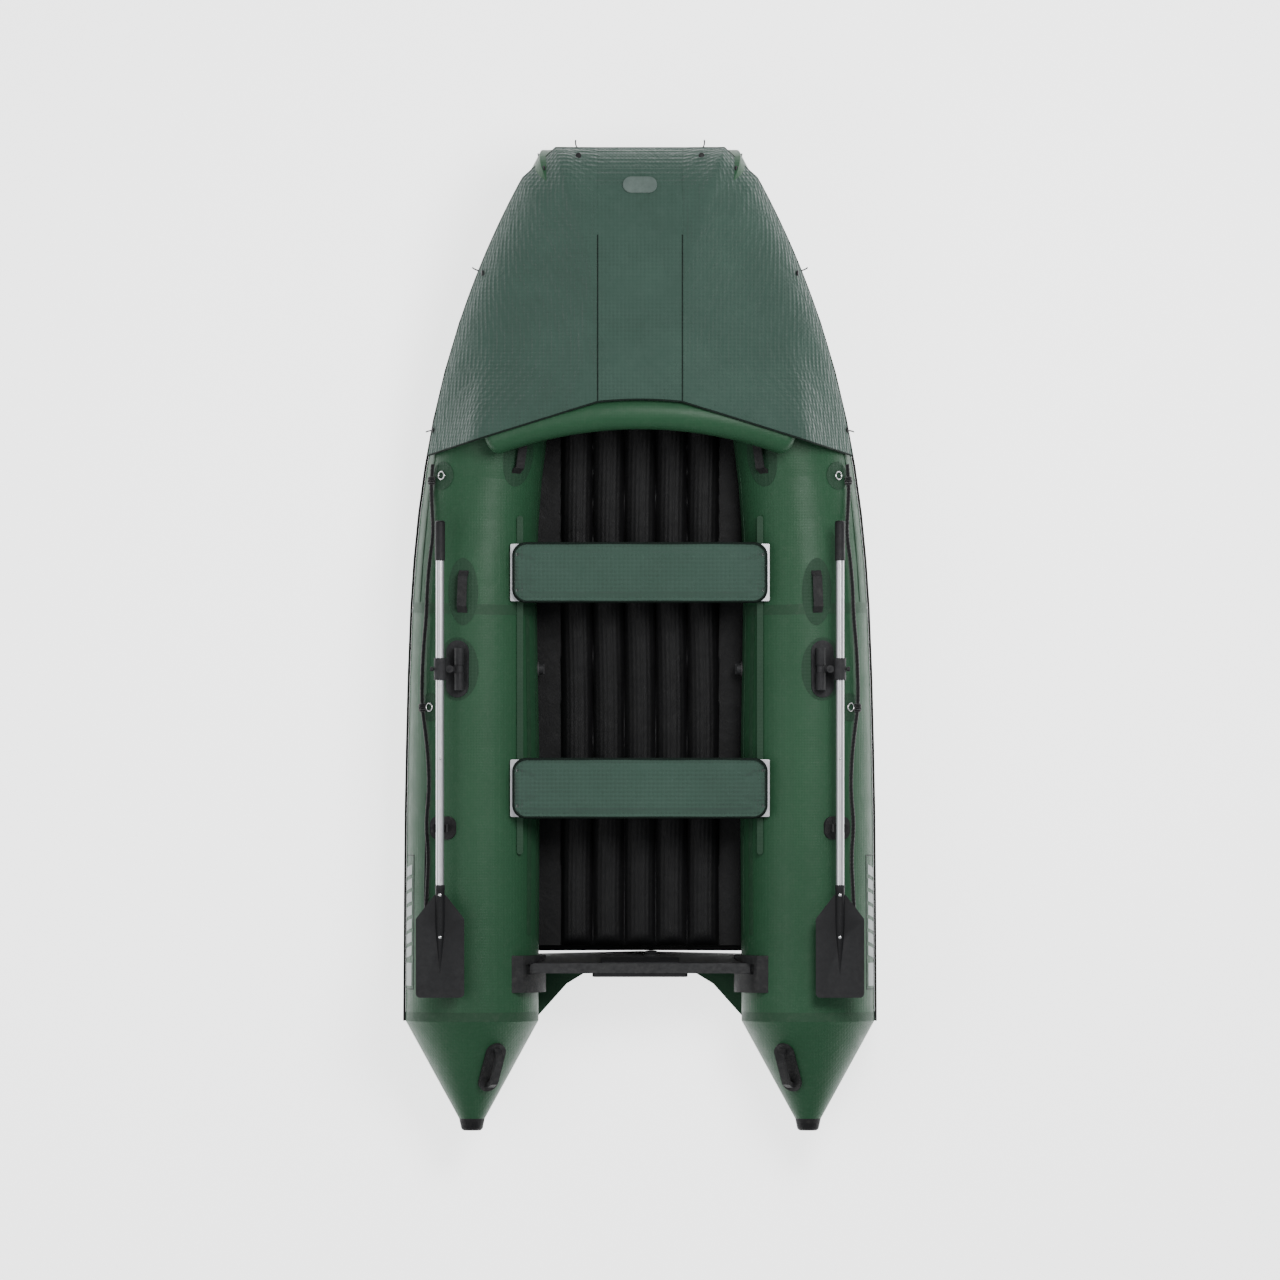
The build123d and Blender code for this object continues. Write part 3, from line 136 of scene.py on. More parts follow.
def finish(
    name, colour, rough, metallic=0.0, mottle=0.1, mottle_scale=3.0, grain=0.0, grain_scale=700.0,
    weave=0.0, weave_pitch=0.003, crease=0.0, crease_scale=9.0, wear=0.0, dust=0.0, coat=0.0, sheen=0.0,
):
    """A material in object coordinates: mottling, fine grain, weave, creases, worn edges and dust."""
    mat = bpy.data.materials.new(name)
    mat.use_nodes = True
    tree = mat.node_tree
    shader = tree.nodes["Principled BSDF"]
    place = tree.nodes.new("ShaderNodeTexCoord").outputs["Object"]

    def node(kind, **values):
        made = tree.nodes.new(kind)
        for key, value in values.items():
            if hasattr(made, key):
                setattr(made, key, value)
            else:
                made.inputs[key.replace("_", " ")].default_value = value
        return made

    def noise(scale, detail=4.0, roughness=0.6):
        made = node("ShaderNodeTexNoise", Scale=scale, Detail=detail, Roughness=roughness)
        tree.links.new(place, made.inputs["Vector"])
        return made.outputs["Fac"]

    def ranged(value, low, high, to_low, to_high):
        made = node("ShaderNodeMapRange")
        for key, number in (("From Min", low), ("From Max", high), ("To Min", to_low), ("To Max", to_high)):
            made.inputs[key].default_value = number
        tree.links.new(value, made.inputs["Value"])
        return made.outputs["Result"]

    def math_of(operation, a, b):
        made = node("ShaderNodeMath", operation=operation)
        for slot, value in ((0, a), (1, b)):
            if isinstance(value, (int, float)):
                made.inputs[slot].default_value = value
            else:
                tree.links.new(value, made.inputs[slot])
        return made.outputs["Value"]

    def mixed(amount, a, b):
        made = node("ShaderNodeMix", data_type="RGBA")
        if isinstance(amount, float):
            made.inputs["Factor"].default_value = amount
        else:
            tree.links.new(amount, made.inputs["Factor"])
        for slot, value in (("A", a), ("B", b)):
            socket = [s for s in made.inputs if s.name == slot and s.type == "RGBA"][0]
            if isinstance(value, tuple):
                socket.default_value = (*value, 1)
            else:
                tree.links.new(value, socket)
        return [s for s in made.outputs if s.type == "RGBA"][0]

    broad = noise(mottle_scale)
    dark = tuple(c * (1 - mottle) for c in colour)
    light = tuple(min(c * (1 + mottle), 1) for c in colour)
    paint = mixed(ranged(broad, 0.3, 0.7, 0, 1), dark, light)
    heights = []
    if weave:
        bands = []
        for axis in ("X", "Y", "Z"):
            wave = node("ShaderNodeTexWave", wave_type="BANDS", bands_direction=axis, Distortion=0.3)
            wave.inputs["Scale"].default_value = 1 / weave_pitch / WAVES_PER_SCALE
            tree.links.new(place, wave.inputs["Vector"])
            bands.append(wave.outputs["Fac"])
        cross = math_of("MULTIPLY", math_of("ADD", bands[0], bands[1]), math_of("ADD", bands[2], 0.5))
        heights.append((cross, weave, weave_pitch))
        paint = mixed(ranged(cross, 0, 2, 0.16, 0.0), paint, tuple(c * 0.55 for c in colour))
    if grain:
        heights.append((noise(grain_scale, 2.0), grain, 1 / grain_scale))
    if crease:
        stretched = node("ShaderNodeTexNoise", Scale=crease_scale, Detail=5.0, Distortion=1.2)
        tree.links.new(place, stretched.inputs["Vector"])
        ridge = math_of("ABSOLUTE", math_of("SUBTRACT", stretched.outputs["Fac"], 0.5), 0)
        heights.append((ranged(ridge, 0, 0.12, 0, 1), crease, 0.02))
    if wear:
        point = node("ShaderNodeNewGeometry").outputs["Pointiness"]
        rub = math_of("MULTIPLY", ranged(point, 0.52, 0.62, 0, wear), noise(60.0))
        paint = mixed(rub, paint, tuple(min(c * 2.5 + 0.06, 1) for c in colour))
    if dust:
        specks = math_of("MULTIPLY", ranged(noise(45.0, 8.0), 0.5, 0.8, 0, 1), dust)
        paint = mixed(specks, paint, (0.32, 0.31, 0.28))
    tree.links.new(paint, shader.inputs["Base Color"])
    roughness = ranged(noise(mottle_scale * 6), 0.3, 0.7, rough * 0.86, min(rough * 1.14, 1))
    tree.links.new(roughness, shader.inputs["Roughness"])
    shader.inputs["Metallic"].default_value = metallic
    shader.inputs["Specular IOR Level"].default_value = METAL_SPECULAR if metallic else SPECULAR
    shader.inputs["Coat Weight"].default_value = coat
    shader.inputs["Coat Roughness"].default_value = 0.3
    shader.inputs["Sheen Weight"].default_value = sheen
    normal = None
    for height, strength, distance in heights:
        bump = node("ShaderNodeBump", Strength=strength, Distance=distance)
        tree.links.new(height, bump.inputs["Height"])
        if normal:
            tree.links.new(normal, bump.inputs["Normal"])
        normal = bump.outputs["Normal"]
    if normal:
        tree.links.new(normal, shader.inputs["Normal"])
    return mat


GREEN = (0.019, 0.062, 0.030)
hull_green = finish("hull_fabric", GREEN, 0.42, mottle=0.07, grain=0.35, weave=0.10, weave_pitch=0.0016,
                    crease=0.03, crease_scale=3.5, dust=0.02, coat=0.04)
tape_green = finish("tape_fabric", (0.018, 0.049, 0.026), 0.5, mottle=0.1, grain=0.4, dust=0.04)
pad_green = finish("pad_fabric", (0.017, 0.045, 0.025), 0.55, grain=0.5, weave=0.2, weave_pitch=0.002)
cloth_green = finish("woven_cloth", (0.032, 0.062, 0.048), 0.85, mottle=0.09, mottle_scale=5, grain=0.3,
                     weave=0.55, weave_pitch=0.0022, crease=0.16, crease_scale=8, sheen=0.25)
cushion_cloth = finish("cushion_cloth", (0.034, 0.066, 0.050), 0.88, mottle=0.08, weave=0.6,
                       weave_pitch=0.0024, crease=0.12, crease_scale=14, sheen=0.3)
piping_cloth = finish("piping_cloth", (0.006, 0.012, 0.009), 0.8, weave=0.4, weave_pitch=0.0015)
floor_black = finish("floor_fabric", (0.0040, 0.0040, 0.0043), 0.5, mottle=0.25, grain=0.5, grain_scale=500,
                     crease=0.05, crease_scale=14, dust=0.004)
rubber = finish("moulded_rubber", (0.008, 0.008, 0.0085), 0.6, mottle=0.15, grain=0.6, grain_scale=900,
                wear=0.25, dust=0.05)
plastic = finish("moulded_plastic", (0.009, 0.009, 0.0098), 0.5, mottle=0.1, grain=0.5, grain_scale=1200,
                 wear=0.3)
pad_plastic = finish("ribbed_pad", (0.011, 0.011, 0.012), 0.55, mottle=0.12, grain=0.6, grain_scale=800,
                     wear=0.3)
ply = finish("coated_ply", (0.007, 0.007, 0.0075), 0.42, mottle=0.2, grain=0.3, grain_scale=250, wear=0.5,
             dust=0.05, coat=0.25)
alloy = finish("anodised_alloy", (0.48, 0.48, 0.50), 0.34, metallic=0.85, mottle=0.05, mottle_scale=12,
               grain=0.15, grain_scale=1600, wear=0.2)
steel = finish("polished_steel", (0.62, 0.62, 0.62), 0.2, metallic=1.0, mottle=0.04, grain=0.1)
rope_black = finish("rope_strand", (0.0045, 0.0045, 0.005), 0.8, mottle=0.25, mottle_scale=60, grain=0.8,
                    grain_scale=1500, sheen=0.3)
badge_plate = finish("badge_plate", (0.05, 0.07, 0.062), 0.35, mottle=0.08, grain=0.2, wear=0.4, coat=0.3)
print_grey = finish("printed_grey", (0.30, 0.33, 0.32), 0.5, mottle=0.08, grain=0.3, dust=0.03)
print_dark = finish("printed_dark", (0.012, 0.018, 0.015), 0.5, mottle=0.1, grain=0.3)
floor_white = finish("studio_paper", (0.93, 0.93, 0.93), 0.9, mottle=0.004, grain=0.02)
glow = floor_white.node_tree.nodes["Principled BSDF"].inputs
glow["Emission Color"].default_value = (1, 1, 1, 1)
glow["Emission Strength"].default_value = 2.2
ground.data.materials.append(floor_white)


def dress(node_names, mat):
    for name in node_names:
        mesh = NODES[name].data
        mesh.materials.clear()
        mesh.materials.append(mat)


def both(text):
    """The names of the port and starboard nodes of that kind."""
    return [f"{side_name}_{text}" for side_name in SIDES]


dress(both("side_tube") + both("stern_cone"), hull_green)
dress(["bow_tube", "arch_tube", "air_baffles", "stern_gussets"], hull_green)
dress(["d_ring_patches", "bench_rails"], pad_green)
dress(["cone_end_caps", "rub_strake", "carry_handles"], rubber)
dress(["stern_handles", "transom_holders", "oar_holders"], rubber)
dress(["oarlock_pads"] + both("oarlock_arm") + both("oar_sleeve") + both("wing_screw"), pad_plastic)
dress(both("oar_blade") + both("oar_grip") + both("valve_cap") + both("valve_pin"), plastic)
dress(["outer_motor_plate", "inner_motor_plate", "drain_plug"], plastic)
dress(["front_bench_clamps", "rear_bench_clamps"], plastic)
dress(both("oar_upper_shaft") + both("oar_lower_shaft"), alloy)
dress(["front_bench_board", "rear_bench_board"], alloy)
dress(both("snap_button") + ["d_rings"], steel)
dress(["transom_board"], ply)
dress(["bottom_skin", "keel_tube"], floor_black)
dress(["bow_badge"], badge_plate)
for name, node in NODES.items():
    if not node.data.materials or node.data.materials[0] is None or name.endswith("valve_body"):
        dress([name], plastic)


# ---------- making pieces ----------
def only(obj):
    """Makes obj the one selected and active object."""
    bpy.ops.object.select_all(action="DESELECT")
    obj.select_set(True)
    bpy.context.view_layer.objects.active = obj


def settle(obj, body, mat, turn=35):
    """Applies a finished piece's place and gives it its material, smooth shading and body."""
    only(obj)
    bpy.ops.object.transform_apply(location=True, rotation=True, scale=True)
    obj.data.materials.clear()
    obj.data.materials.append(mat)
    bpy.ops.object.shade_smooth_by_angle(angle=math.radians(turn))
    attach(obj, body)
    obj.select_set(False)
    return obj


def outward(obj):
    """Merges doubled points and turns every face outwards."""
    only(obj)
    bpy.ops.object.mode_set(mode="EDIT")
    bpy.ops.mesh.select_all(action="SELECT")
    bpy.ops.mesh.remove_doubles(threshold=0.00001)
    bpy.ops.mesh.normals_make_consistent(inside=False)
    bpy.ops.object.mode_set(mode="OBJECT")


def applied(obj, kind, **values):
    """Adds a modifier, sets it and applies it."""
    made = obj.modifiers.new(kind.lower(), kind)
    for key, value in values.items():
        setattr(made, key, value)
    only(obj)
    bpy.ops.object.modifier_apply(modifier=made.name)


def laid_grid(name, across, along, place, body, mat, thick=0.0, turn=35):
    """A grid primitive laid on the surface that place(u, v) gives, thickened outwards where asked."""
    bpy.ops.mesh.primitive_grid_add(x_subdivisions=across, y_subdivisions=along, size=2, location=(0, 0, 0))
    obj = bpy.context.object
    obj.name = name
    for vertex in obj.data.vertices:
        u, v = (vertex.co.x + 1) / 2, (vertex.co.y + 1) / 2
        vertex.co = place(min(max(u, 0), 1), min(max(v, 0), 1))
    middle = obj.data.polygons[len(obj.data.polygons) // 2]
    if middle.normal.z < 0:
        obj.data.flip_normals()
    if thick:
        applied(obj, "SOLIDIFY", thickness=thick, offset=1.0)
    return settle(obj, body, mat, turn)


def band(name, side, y0, y1, a0, a1, mat, thick=0.0015, lift=0.0004, across=24, along=24):
    """A strip of fabric glued on a side tube between two stations and two angles."""
    def place(u, v):
        y = y0 + (y1 - y0) * v
        return on_skin(side, y, a0 + (a1 - a0) * u, lift)
    return laid_grid(name, across, along, place, "hull", mat, thick)


def joined(name, pieces):
    """Several shaped objects made into one piece."""
    bpy.ops.object.select_all(action="DESELECT")
    for piece in pieces:
        piece.select_set(True)
    bpy.context.view_layer.objects.active = pieces[0]
    bpy.ops.object.join()
    made = bpy.context.object
    made.name = name
    return made


def framed(points):
    """Each point with two directions square to the line there, carried along without twisting."""
    frames = []
    normal = None
    last = len(points) - 1
    for i, p in enumerate(points):
        ahead = (points[min(i + 1, last)] - points[max(i - 1, 0)]).normalized()
        if normal is None:
            normal = ahead.orthogonal().normalized()
        normal = (normal - ahead * normal.dot(ahead)).normalized()
        frames.append((p, normal, ahead.cross(normal)))
    return frames


def swept(name, points, radius, sides=8):
    """A round tube through the points: a cylinder cut into rings, each ring moved to its place."""
    bpy.ops.mesh.primitive_cylinder_add(vertices=sides, radius=1, depth=2, end_fill_type="NGON",
                                        location=(0, 0, 0))
    obj = bpy.context.object
    obj.name = name
    count = len(points)
    bpy.ops.object.mode_set(mode="EDIT")
    bpy.ops.mesh.select_all(action="DESELECT")
    bpy.ops.object.mode_set(mode="OBJECT")
    for edge in obj.data.edges:
        low, high = (obj.data.vertices[i].co.z for i in edge.vertices)
        edge.select = abs(low - high) > 1
    bpy.ops.object.mode_set(mode="EDIT")
    bpy.ops.mesh.select_mode(type="EDGE")
    bpy.ops.mesh.subdivide_edgering(number_cuts=count - 2, interpolation="LINEAR")
    bpy.ops.object.mode_set(mode="OBJECT")
    frames = framed(points)
    for vertex in obj.data.vertices:
        at = round((vertex.co.z + 1) / 2 * (count - 1))
        p, a, b = frames[at]
        vertex.co = p + radius * (a * vertex.co.x + b * vertex.co.y)
    outward(obj)
    return obj


# ---------- lifelines ----------
ROUTE = (
    (0.738, 0.625), (0.744, 0.560), (0.741, 0.478), (0.735, 0.380), (0.748, 0.290),
    (0.757, 0.190), (0.760, 0.085), (0.771, -0.030), (0.776, -0.150), (0.776, -0.238), (0.763, -0.330),
    (0.753, -0.430), (0.750, -0.540), (0.762, -0.655), (0.752, -0.765), (0.757, -0.868), (0.762, -0.970),
    (0.768, -1.050),
)
ROPE_R, CORE_R = 0.0074, 0.0066        # over the strands, and the core inside them
ROPE_OUT = 0.0128                      # the rope's centre stands this far out from the tube's skin
ROPE_STEP, ROPE_LAY = 0.0045, 0.042
STRANDS, STRAND_SHARE = 3, 0.43        # a strand's share of the rope's radius
RING_YS = (0.567, -0.239, -1.040)      # stations of the rings and knots
KNOT_TURNS = ((0.0, -0.009), (0.35, 0.0), (-0.3, 0.009), (1.1, 0.002))    # lean and shift of each turn


def rope_core(name, side):
    """The rope's core as a spline along the route, and its points read back closely spaced."""
    data = bpy.data.curves.new(name, "CURVE")
    data.dimensions = "3D"
    data.resolution_u = 40
    spline = data.splines.new("NURBS")
    spline.points.add(len(ROUTE) - 1)
    for point, (x, y) in zip(spline.points, ROUTE):
        reach = tube_r(y) + ROPE_OUT
        lean = math.acos(min((x - axis_x(y)) * math.cos(heading(y)) / reach, 1.0))
        point.co = (side * x, y, axis_z(y) + reach * math.sin(lean), 1)
    spline.order_u = 3
    spline.use_endpoint_u = True
    core = bpy.data.objects.new(name, data)
    bpy.context.scene.collection.objects.link(core)
    mesh = bpy.data.meshes.new_from_object(core)
    points = [v.co.copy() for v in mesh.vertices]
    bpy.data.meshes.remove(mesh)
    data.bevel_depth = CORE_R
    data.bevel_resolution = 4
    data.use_fill_caps = True
    data.materials.append(rope_black)
    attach(core, "hull")
    return core, points


def evenly(points, step):
    """The same line with points a set step apart."""
    lengths = [0.0]
    for a, b in zip(points, points[1:]):
        lengths.append(lengths[-1] + (b - a).length)
    count = round(lengths[-1] / step) + 1
    out, k = [], 0
    for i in range(count):
        s = lengths[-1] * i / (count - 1)
        while k < len(lengths) - 2 and lengths[k + 1] < s:
            k += 1
        f = (s - lengths[k]) / max(lengths[k + 1] - lengths[k], 1e-9)
        out.append(points[k].lerp(points[k + 1], min(f, 1)))
    return out, lengths[-1]


def twisted(name, points, radius, lay, mat):
    """Three strands laid round the line of points, one turn in each lay."""
    strands = []
    step = (points[1] - points[0]).length
    for strand in range(STRANDS):
        path = []
        for i, (p, normal, across) in enumerate(framed(points)):
            turn = math.tau * (i * step / lay + strand / STRANDS)
            away = math.cos(turn) * normal + math.sin(turn) * across
            path.append(p + away * radius * (1 - STRAND_SHARE))
        strands.append(swept(f"{name}_{strand}", path, radius * STRAND_SHARE))
    return settle(joined(name, strands), "hull", mat, 60)


def ring_tube(name, points, radius, sides=8):
    """A closed round tube through level points, from a torus moved ring by ring."""
    count = len(points)
    bpy.ops.mesh.primitive_torus_add(major_segments=count, minor_segments=sides, major_radius=1,
                                     minor_radius=0.25, location=(0, 0, 0))
    obj = bpy.context.object
    obj.name = name
    for vertex in obj.data.vertices:
        at = round(math.atan2(vertex.co.y, vertex.co.x) / math.tau * count) % count
        ahead = (points[(at + 1) % count] - points[at - 1]).normalized()
        out = ahead.cross(Vector((0, 0, 1))).normalized()
        up = out.cross(ahead)
        reach = math.hypot(vertex.co.x, vertex.co.y) - 1
        vertex.co = points[at] + radius * 4 * (out * reach + up * vertex.co.z)
    outward(obj)
    return obj


for side_name, side in SIDES.items():
    rope, route = rope_core(f"{side_name}_rope", side)
    line, rope_length = evenly(route, ROPE_STEP)
    strands = twisted(f"{side_name}_rope_strands", line, ROPE_R, ROPE_LAY, rope_black)
    for k, ring_y in enumerate(RING_YS):
        at = min(range(1, len(line) - 1), key=lambda i: abs(line[i].y - ring_y))
        turn = (line[at + 1] - line[at - 1]).normalized().to_track_quat("Z", "Y")
        coils = []
        for lean, shift in KNOT_TURNS:
            bpy.ops.mesh.primitive_torus_add(major_segments=28, minor_segments=10, major_radius=0.0095,
                                             minor_radius=0.0045, location=(0, 0, 0))
            coil = bpy.context.object
            coil.rotation_mode = "QUATERNION"
            leaning = Vector((0, math.sin(lean), math.cos(lean))).to_track_quat("Z", "Y")
            coil.rotation_quaternion = turn @ leaning
            coil.location = line[at] + turn @ Vector((0, 0, shift))
            coils.append(coil)
        for coil in coils:
            coil.select_set(True)
        bpy.ops.object.transform_apply(location=True, rotation=True, scale=True)
        knot = settle(joined(f"{side_name}_knot_{k}", coils), "hull", rope_black, 60)
    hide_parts(f"{side_name}_lifeline")


# ---------- air floor ----------
FLOOR_Z, CELL_PITCH, CELL_HALF, CELL_RISE = 0.172, 0.112, 0.0565, 0.043
FLOOR_YS = (-1.090, 0.900)


def floor_half(y):
    drop = axis_z(y) - FLOOR_Z
    return axis_x(y) - math.sqrt(tube_r(y) ** 2 - drop**2) / math.cos(heading(y)) - 0.002


def floor_top(u, v):
    y = FLOOR_YS[0] + (FLOOR_YS[1] - FLOOR_YS[0]) * v
    x = floor_half(y) * (2 * u - 1)
    cell = min(max(round(x / CELL_PITCH), -2), 2)
    off = min(abs(x - cell * CELL_PITCH) / CELL_HALF, 1.0)
    end = min(y - FLOOR_YS[0], FLOOR_YS[1] - y) / 0.045
    close = math.sqrt(max(1 - (1 - min(end, 1)) ** 2, 0))
    pucker = 0.0016 * math.sin(y * 190 + 2.2 * cell) * off**3
    ripple = 0.0010 * math.sin(x * 420 + math.sin(y * 5) * 2)
    rise = (CELL_RISE + ripple + pucker) * math.sqrt(max(1 - off**2.1, 0)) * close
    return Vector((x, y, FLOOR_Z + 0.0015 + rise))


floor_piece = laid_grid("air_floor_cells", 190, 200, floor_top, "hull", floor_black, turn=50)
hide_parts("air_floor")

# ---------- seams, tapes, patches and printing on the tubes ----------
MARK_YS = (-1.245, -0.765)             # the printed panel near the stern
# middle x and y, half width and half length of each glued patch
PATCHES = ((0.628, 0.171, 0.052, 0.118), (0.430, 0.684, 0.052, 0.118), (0.648, -0.103, 0.074, 0.112))
BOW_PATCH = 1                          # this one follows the tube's turn


def oval_patch(name, side, spot, turn):
    """An oval of fabric glued on a side tube."""
    x, y, half_x, half_y = spot

    def place(u, v):
        a, b = 2 * u - 1, 2 * v - 1
        long = b * math.sqrt(1 - a * a / 2) * half_y
        wide = a * math.sqrt(1 - b * b / 2) * half_x
        dx = wide * math.cos(turn) + long * math.sin(turn)
        dy = long * math.cos(turn) - wide * math.sin(turn)
        return on_skin(side, y + dy, skin_turn(x + dx, y + dy), 0.0005)
    laid_grid(name, 20, 30, place, "hull", pad_green, 0.0014)


for side_name, side in SIDES.items():
    green = [
        band(f"{side_name}_cross_tape", side, 0.092, 0.128, 8, 232, tape_green, 0.0006, 0.0003, 90, 6),
        band(f"{side_name}_cone_tape", side, -1.357, -1.325, -60, 240, tape_green, across=110, along=6),
        band(f"{side_name}_inner_seam", side, -1.05, 0.09, 145, 151, tape_green, 0.0012, across=6, along=60),
        band(f"{side_name}_inner_fold", side, -1.05, 1.30, 163, 165, tape_green, 0.0014, across=4, along=120),
        band(f"{side_name}_outer_seam", side, 0.13, 1.30, 26, 29, tape_green, 0.0012, across=6, along=90),
    ]
    rear, front = MARK_YS
    border = [
        band("border_long", side, rear, front, 27.5, 28.7, print_dark, 0.0006, across=3, along=50),
        band("border_low", side, rear, front, 7.0, 7.8, print_dark, 0.0006, across=3, along=50),
        band("border_rear", side, rear, rear + 0.004, 7.8, 27.5, print_dark, 0.0006, across=12, along=3),
        band("border_front", side, front - 0.004, front, 7.8, 27.5, print_dark, 0.0006, across=12, along=3),
    ]
    joined(f"{side_name}_side_border", border)
    stripes = []
    for k in range(7):
        front = -0.800 - 0.048 * k

        def slanted(u, v, front=front):
            return on_skin(side, front - 0.034 * v - 0.012 * (1 - u), 10 + 15 * u, 0.0006)

        stripes.append(laid_grid("stripe", 10, 6, slanted, "hull", print_grey, 0.0006))
    stripes.append(band("stripe", side, -1.232, -1.150, 10, 25, print_grey, 0.0006, across=10, along=10))
    joined(f"{side_name}_side_stripes", stripes)

    for k, spot in enumerate(PATCHES):
        turn = -heading(spot[1]) if k == BOW_PATCH else 0.0
        oval_patch(f"{side_name}_oval_patch_{k}", side, spot, turn)

# ---------- bow dodger ----------
GAP, CLOTH_T, SEAM_X, HEM = 0.0165, 0.0016, 0.150, math.radians(20)
FAN_START = 0.7                        # from here the lines of cloth fan out round the bow corner
TIES = (0.06, 0.42, 0.66, 0.88)
EDGE_MID_Y, EDGE_CORNER_Y, ARCH_CLEAR = 0.852, 0.725, 0.069
CORNER = Vector((axis_x(NOSE_Y), NOSE_Y, axis_z(NOSE_Y)))


def cloth_over(centre_z, squash, radius, start_d, start_z, steps):
    """Points from a start down the upper tangent to a tube and round to the hem."""
    across, up = start_d * squash[0], (start_z - centre_z) * squash[1]
    touch = math.atan2(up, across) - math.acos(min(radius / math.hypot(across, up), 1.0))
    turns = [touch + (HEM - touch) * i / steps for i in range(steps + 1)]
    return [(radius * math.cos(t) / squash[0], centre_z + radius * math.sin(t) / squash[1]) for t in turns]


def seam_height(y):
    """Height of the panel seam between the rear edge and the nose."""
    rear, nose = ARCH_Z - 0.006 + ARCH_CLEAR, CORNER.z + R_BOW + GAP
    return rear + (nose - rear) * (y - EDGE_MID_Y) / (NOSE_Y - EDGE_MID_Y)


def cloth_row(v):
    """A line of the side panel from the seam out to the hem; v runs from the rear edge to the nose."""
    fan, along = max(v - FAN_START, 0) / 0.3, min(v / FAN_START, 1)
    y = EDGE_CORNER_Y + (NOSE_Y - EDGE_CORNER_Y) * along
    if fan == 0:
        axis, climb, radius = Vector((axis_x(y), y, axis_z(y))), tangent(y).z, tube_r(y)
    else:
        axis = Vector((CORNER.x + (SEAM_X - CORNER.x) * fan, NOSE_Y, CORNER.z))
        climb, radius = tangent(NOSE_Y).z, R_BOW
    seam_y = EDGE_MID_Y - 0.008 + (NOSE_Y - 0.110 - EDGE_MID_Y) * v
    seam = Vector((SEAM_X, seam_y, seam_height(seam_y)))
    out = Vector((axis.x - seam.x, axis.y - seam.y, 0))
    span = out.length
    out = out.normalized()
    bearing = math.atan2(out.y, out.x)
    lean = min(bearing - heading(axis.y), math.pi / 2 - bearing)
    upright = math.sqrt(1 - climb**2)
    shear = math.sin(lean) * climb / upright
    squash = (math.cos(lean), upright + (1 - upright) * ease(fan))
    radius += GAP
    touch = cloth_over(axis.z, squash, radius, -span, seam.z, 1)[0]
    lift = 1 - ease(v / 0.3)
    shoulder = (touch[0] - 0.040 * lift, touch[1] + 0.122 * lift)
    line = []
    for i in range(6):
        f = i / 6
        crown = 0.064 * lift * f * (1 - f)
        line.append((-span + (shoulder[0] + span) * f, seam.z + (shoulder[1] - seam.z) * f + crown))
    start = shoulder if lift > 0 else (-span, seam.z)
    line += [shoulder] * (lift > 0.02) + cloth_over(axis.z, squash, radius, *start, 9)
    line = [(d, z + max(d, 0) * shear) for d, z in line]
    return [Vector((axis.x + out.x * d, axis.y + out.y * d, z)) for d, z in line]


def middle_row(x):
    """A line of the middle panel from the rear edge forward over the nose to the hem."""
    edge_y = EDGE_MID_Y - 0.008 * (x / SEAM_X) ** 2
    rear_z = ARCH_Z - 0.006 * (x / SEAM_X) ** 2 + ARCH_CLEAR
    wrap = cloth_over(CORNER.z, (1, 1), R_BOW + GAP, edge_y - NOSE_Y, rear_z, 9)
    line = [(edge_y - NOSE_Y, rear_z)] + wrap
    return [Vector((x, NOSE_Y + d, z)) for d, z in line]


def along_line(line, u):
    """A point at the fraction u of a line's length, its corners eased."""
    lengths = [0.0]
    for a, b in zip(line, line[1:]):
        lengths.append(lengths[-1] + (b - a).length)

    def at(s):
        s = min(max(s, 0), lengths[-1])
        k = max(i for i in range(len(line) - 1) if lengths[i] <= s + 1e-12)
        return line[k].lerp(line[k + 1], min((s - lengths[k]) / max(lengths[k + 1] - lengths[k], 1e-9), 1))
    s = u * lengths[-1]
    ease_by = min(s, lengths[-1] - s, 0.03)
    return (at(s - ease_by) + at(s) * 2 + at(s + ease_by)) / 4


def slack(u, v, side):
    """Small waves in the cloth: pulls towards the ties and a crease beside the port seam."""
    pull = 0.0030 * math.sin(v * 31 + 4 * u + side) * ease((u - 0.55) / 0.35)
    soft = 0.0022 * math.sin(7 * u + 9 * v + 2 * side) + 0.0012 * math.sin(19 * v - 8 * u)
    crease = 0.006 * math.exp(-((u - 0.10) / 0.035) ** 2) * (1 - v) if side < 0 else 0.0
    return min(pull + soft * math.sin(math.pi * min(max(u, 0), 1)) + crease, 0.008)


ROWS = {}


def side_cloth(side):
    def place(u, v):
        key = round(v, 5)
        if key not in ROWS:
            ROWS[key] = cloth_row(v)
        p = along_line(ROWS[key], u)
        return Vector((p.x * side, p.y, p.z + slack(u, v, side)))
    return place


def middle_cloth(u, v):
    x = SEAM_X * (2 * u - 1)
    p = along_line(middle_row(x), v)
    return Vector((p.x, p.y, p.z - 0.004 * math.sin(math.pi * u) * math.sin(math.pi * v) * (1 - v)))


panels = [laid_grid("dodger_middle", 26, 70, middle_cloth, "hull", cloth_green, CLOTH_T, turn=50)]
for side in SIDES.values():
    panels.append(laid_grid("dodger_side", 60, 90, side_cloth(side), "hull", cloth_green, CLOTH_T, turn=50))
SEAM_CORD_R, HEM_CORD_R, REAR_CORD_R = 0.0024, 0.0032, 0.0034
over = Vector((0, 0, CLOTH_T))
edges = []
for side in SIDES.values():
    place = side_cloth(side)
    edges.append(swept("seam_cord", [place(0.0, i / 60) + over for i in range(61)], SEAM_CORD_R))
    edges.append(swept("hem_cord", [place(1.0, i / 90) for i in range(91)], HEM_CORD_R))
    edges.append(swept("rear_cord", [place(i / 60, 0.0) + over for i in range(61)], REAR_CORD_R))
edges.append(swept("rear_cord", [middle_cloth(i / 20, 0) + over for i in range(21)], REAR_CORD_R))
edges.append(swept("hem_cord", [middle_cloth(i / 20, 1) for i in range(21)], HEM_CORD_R))
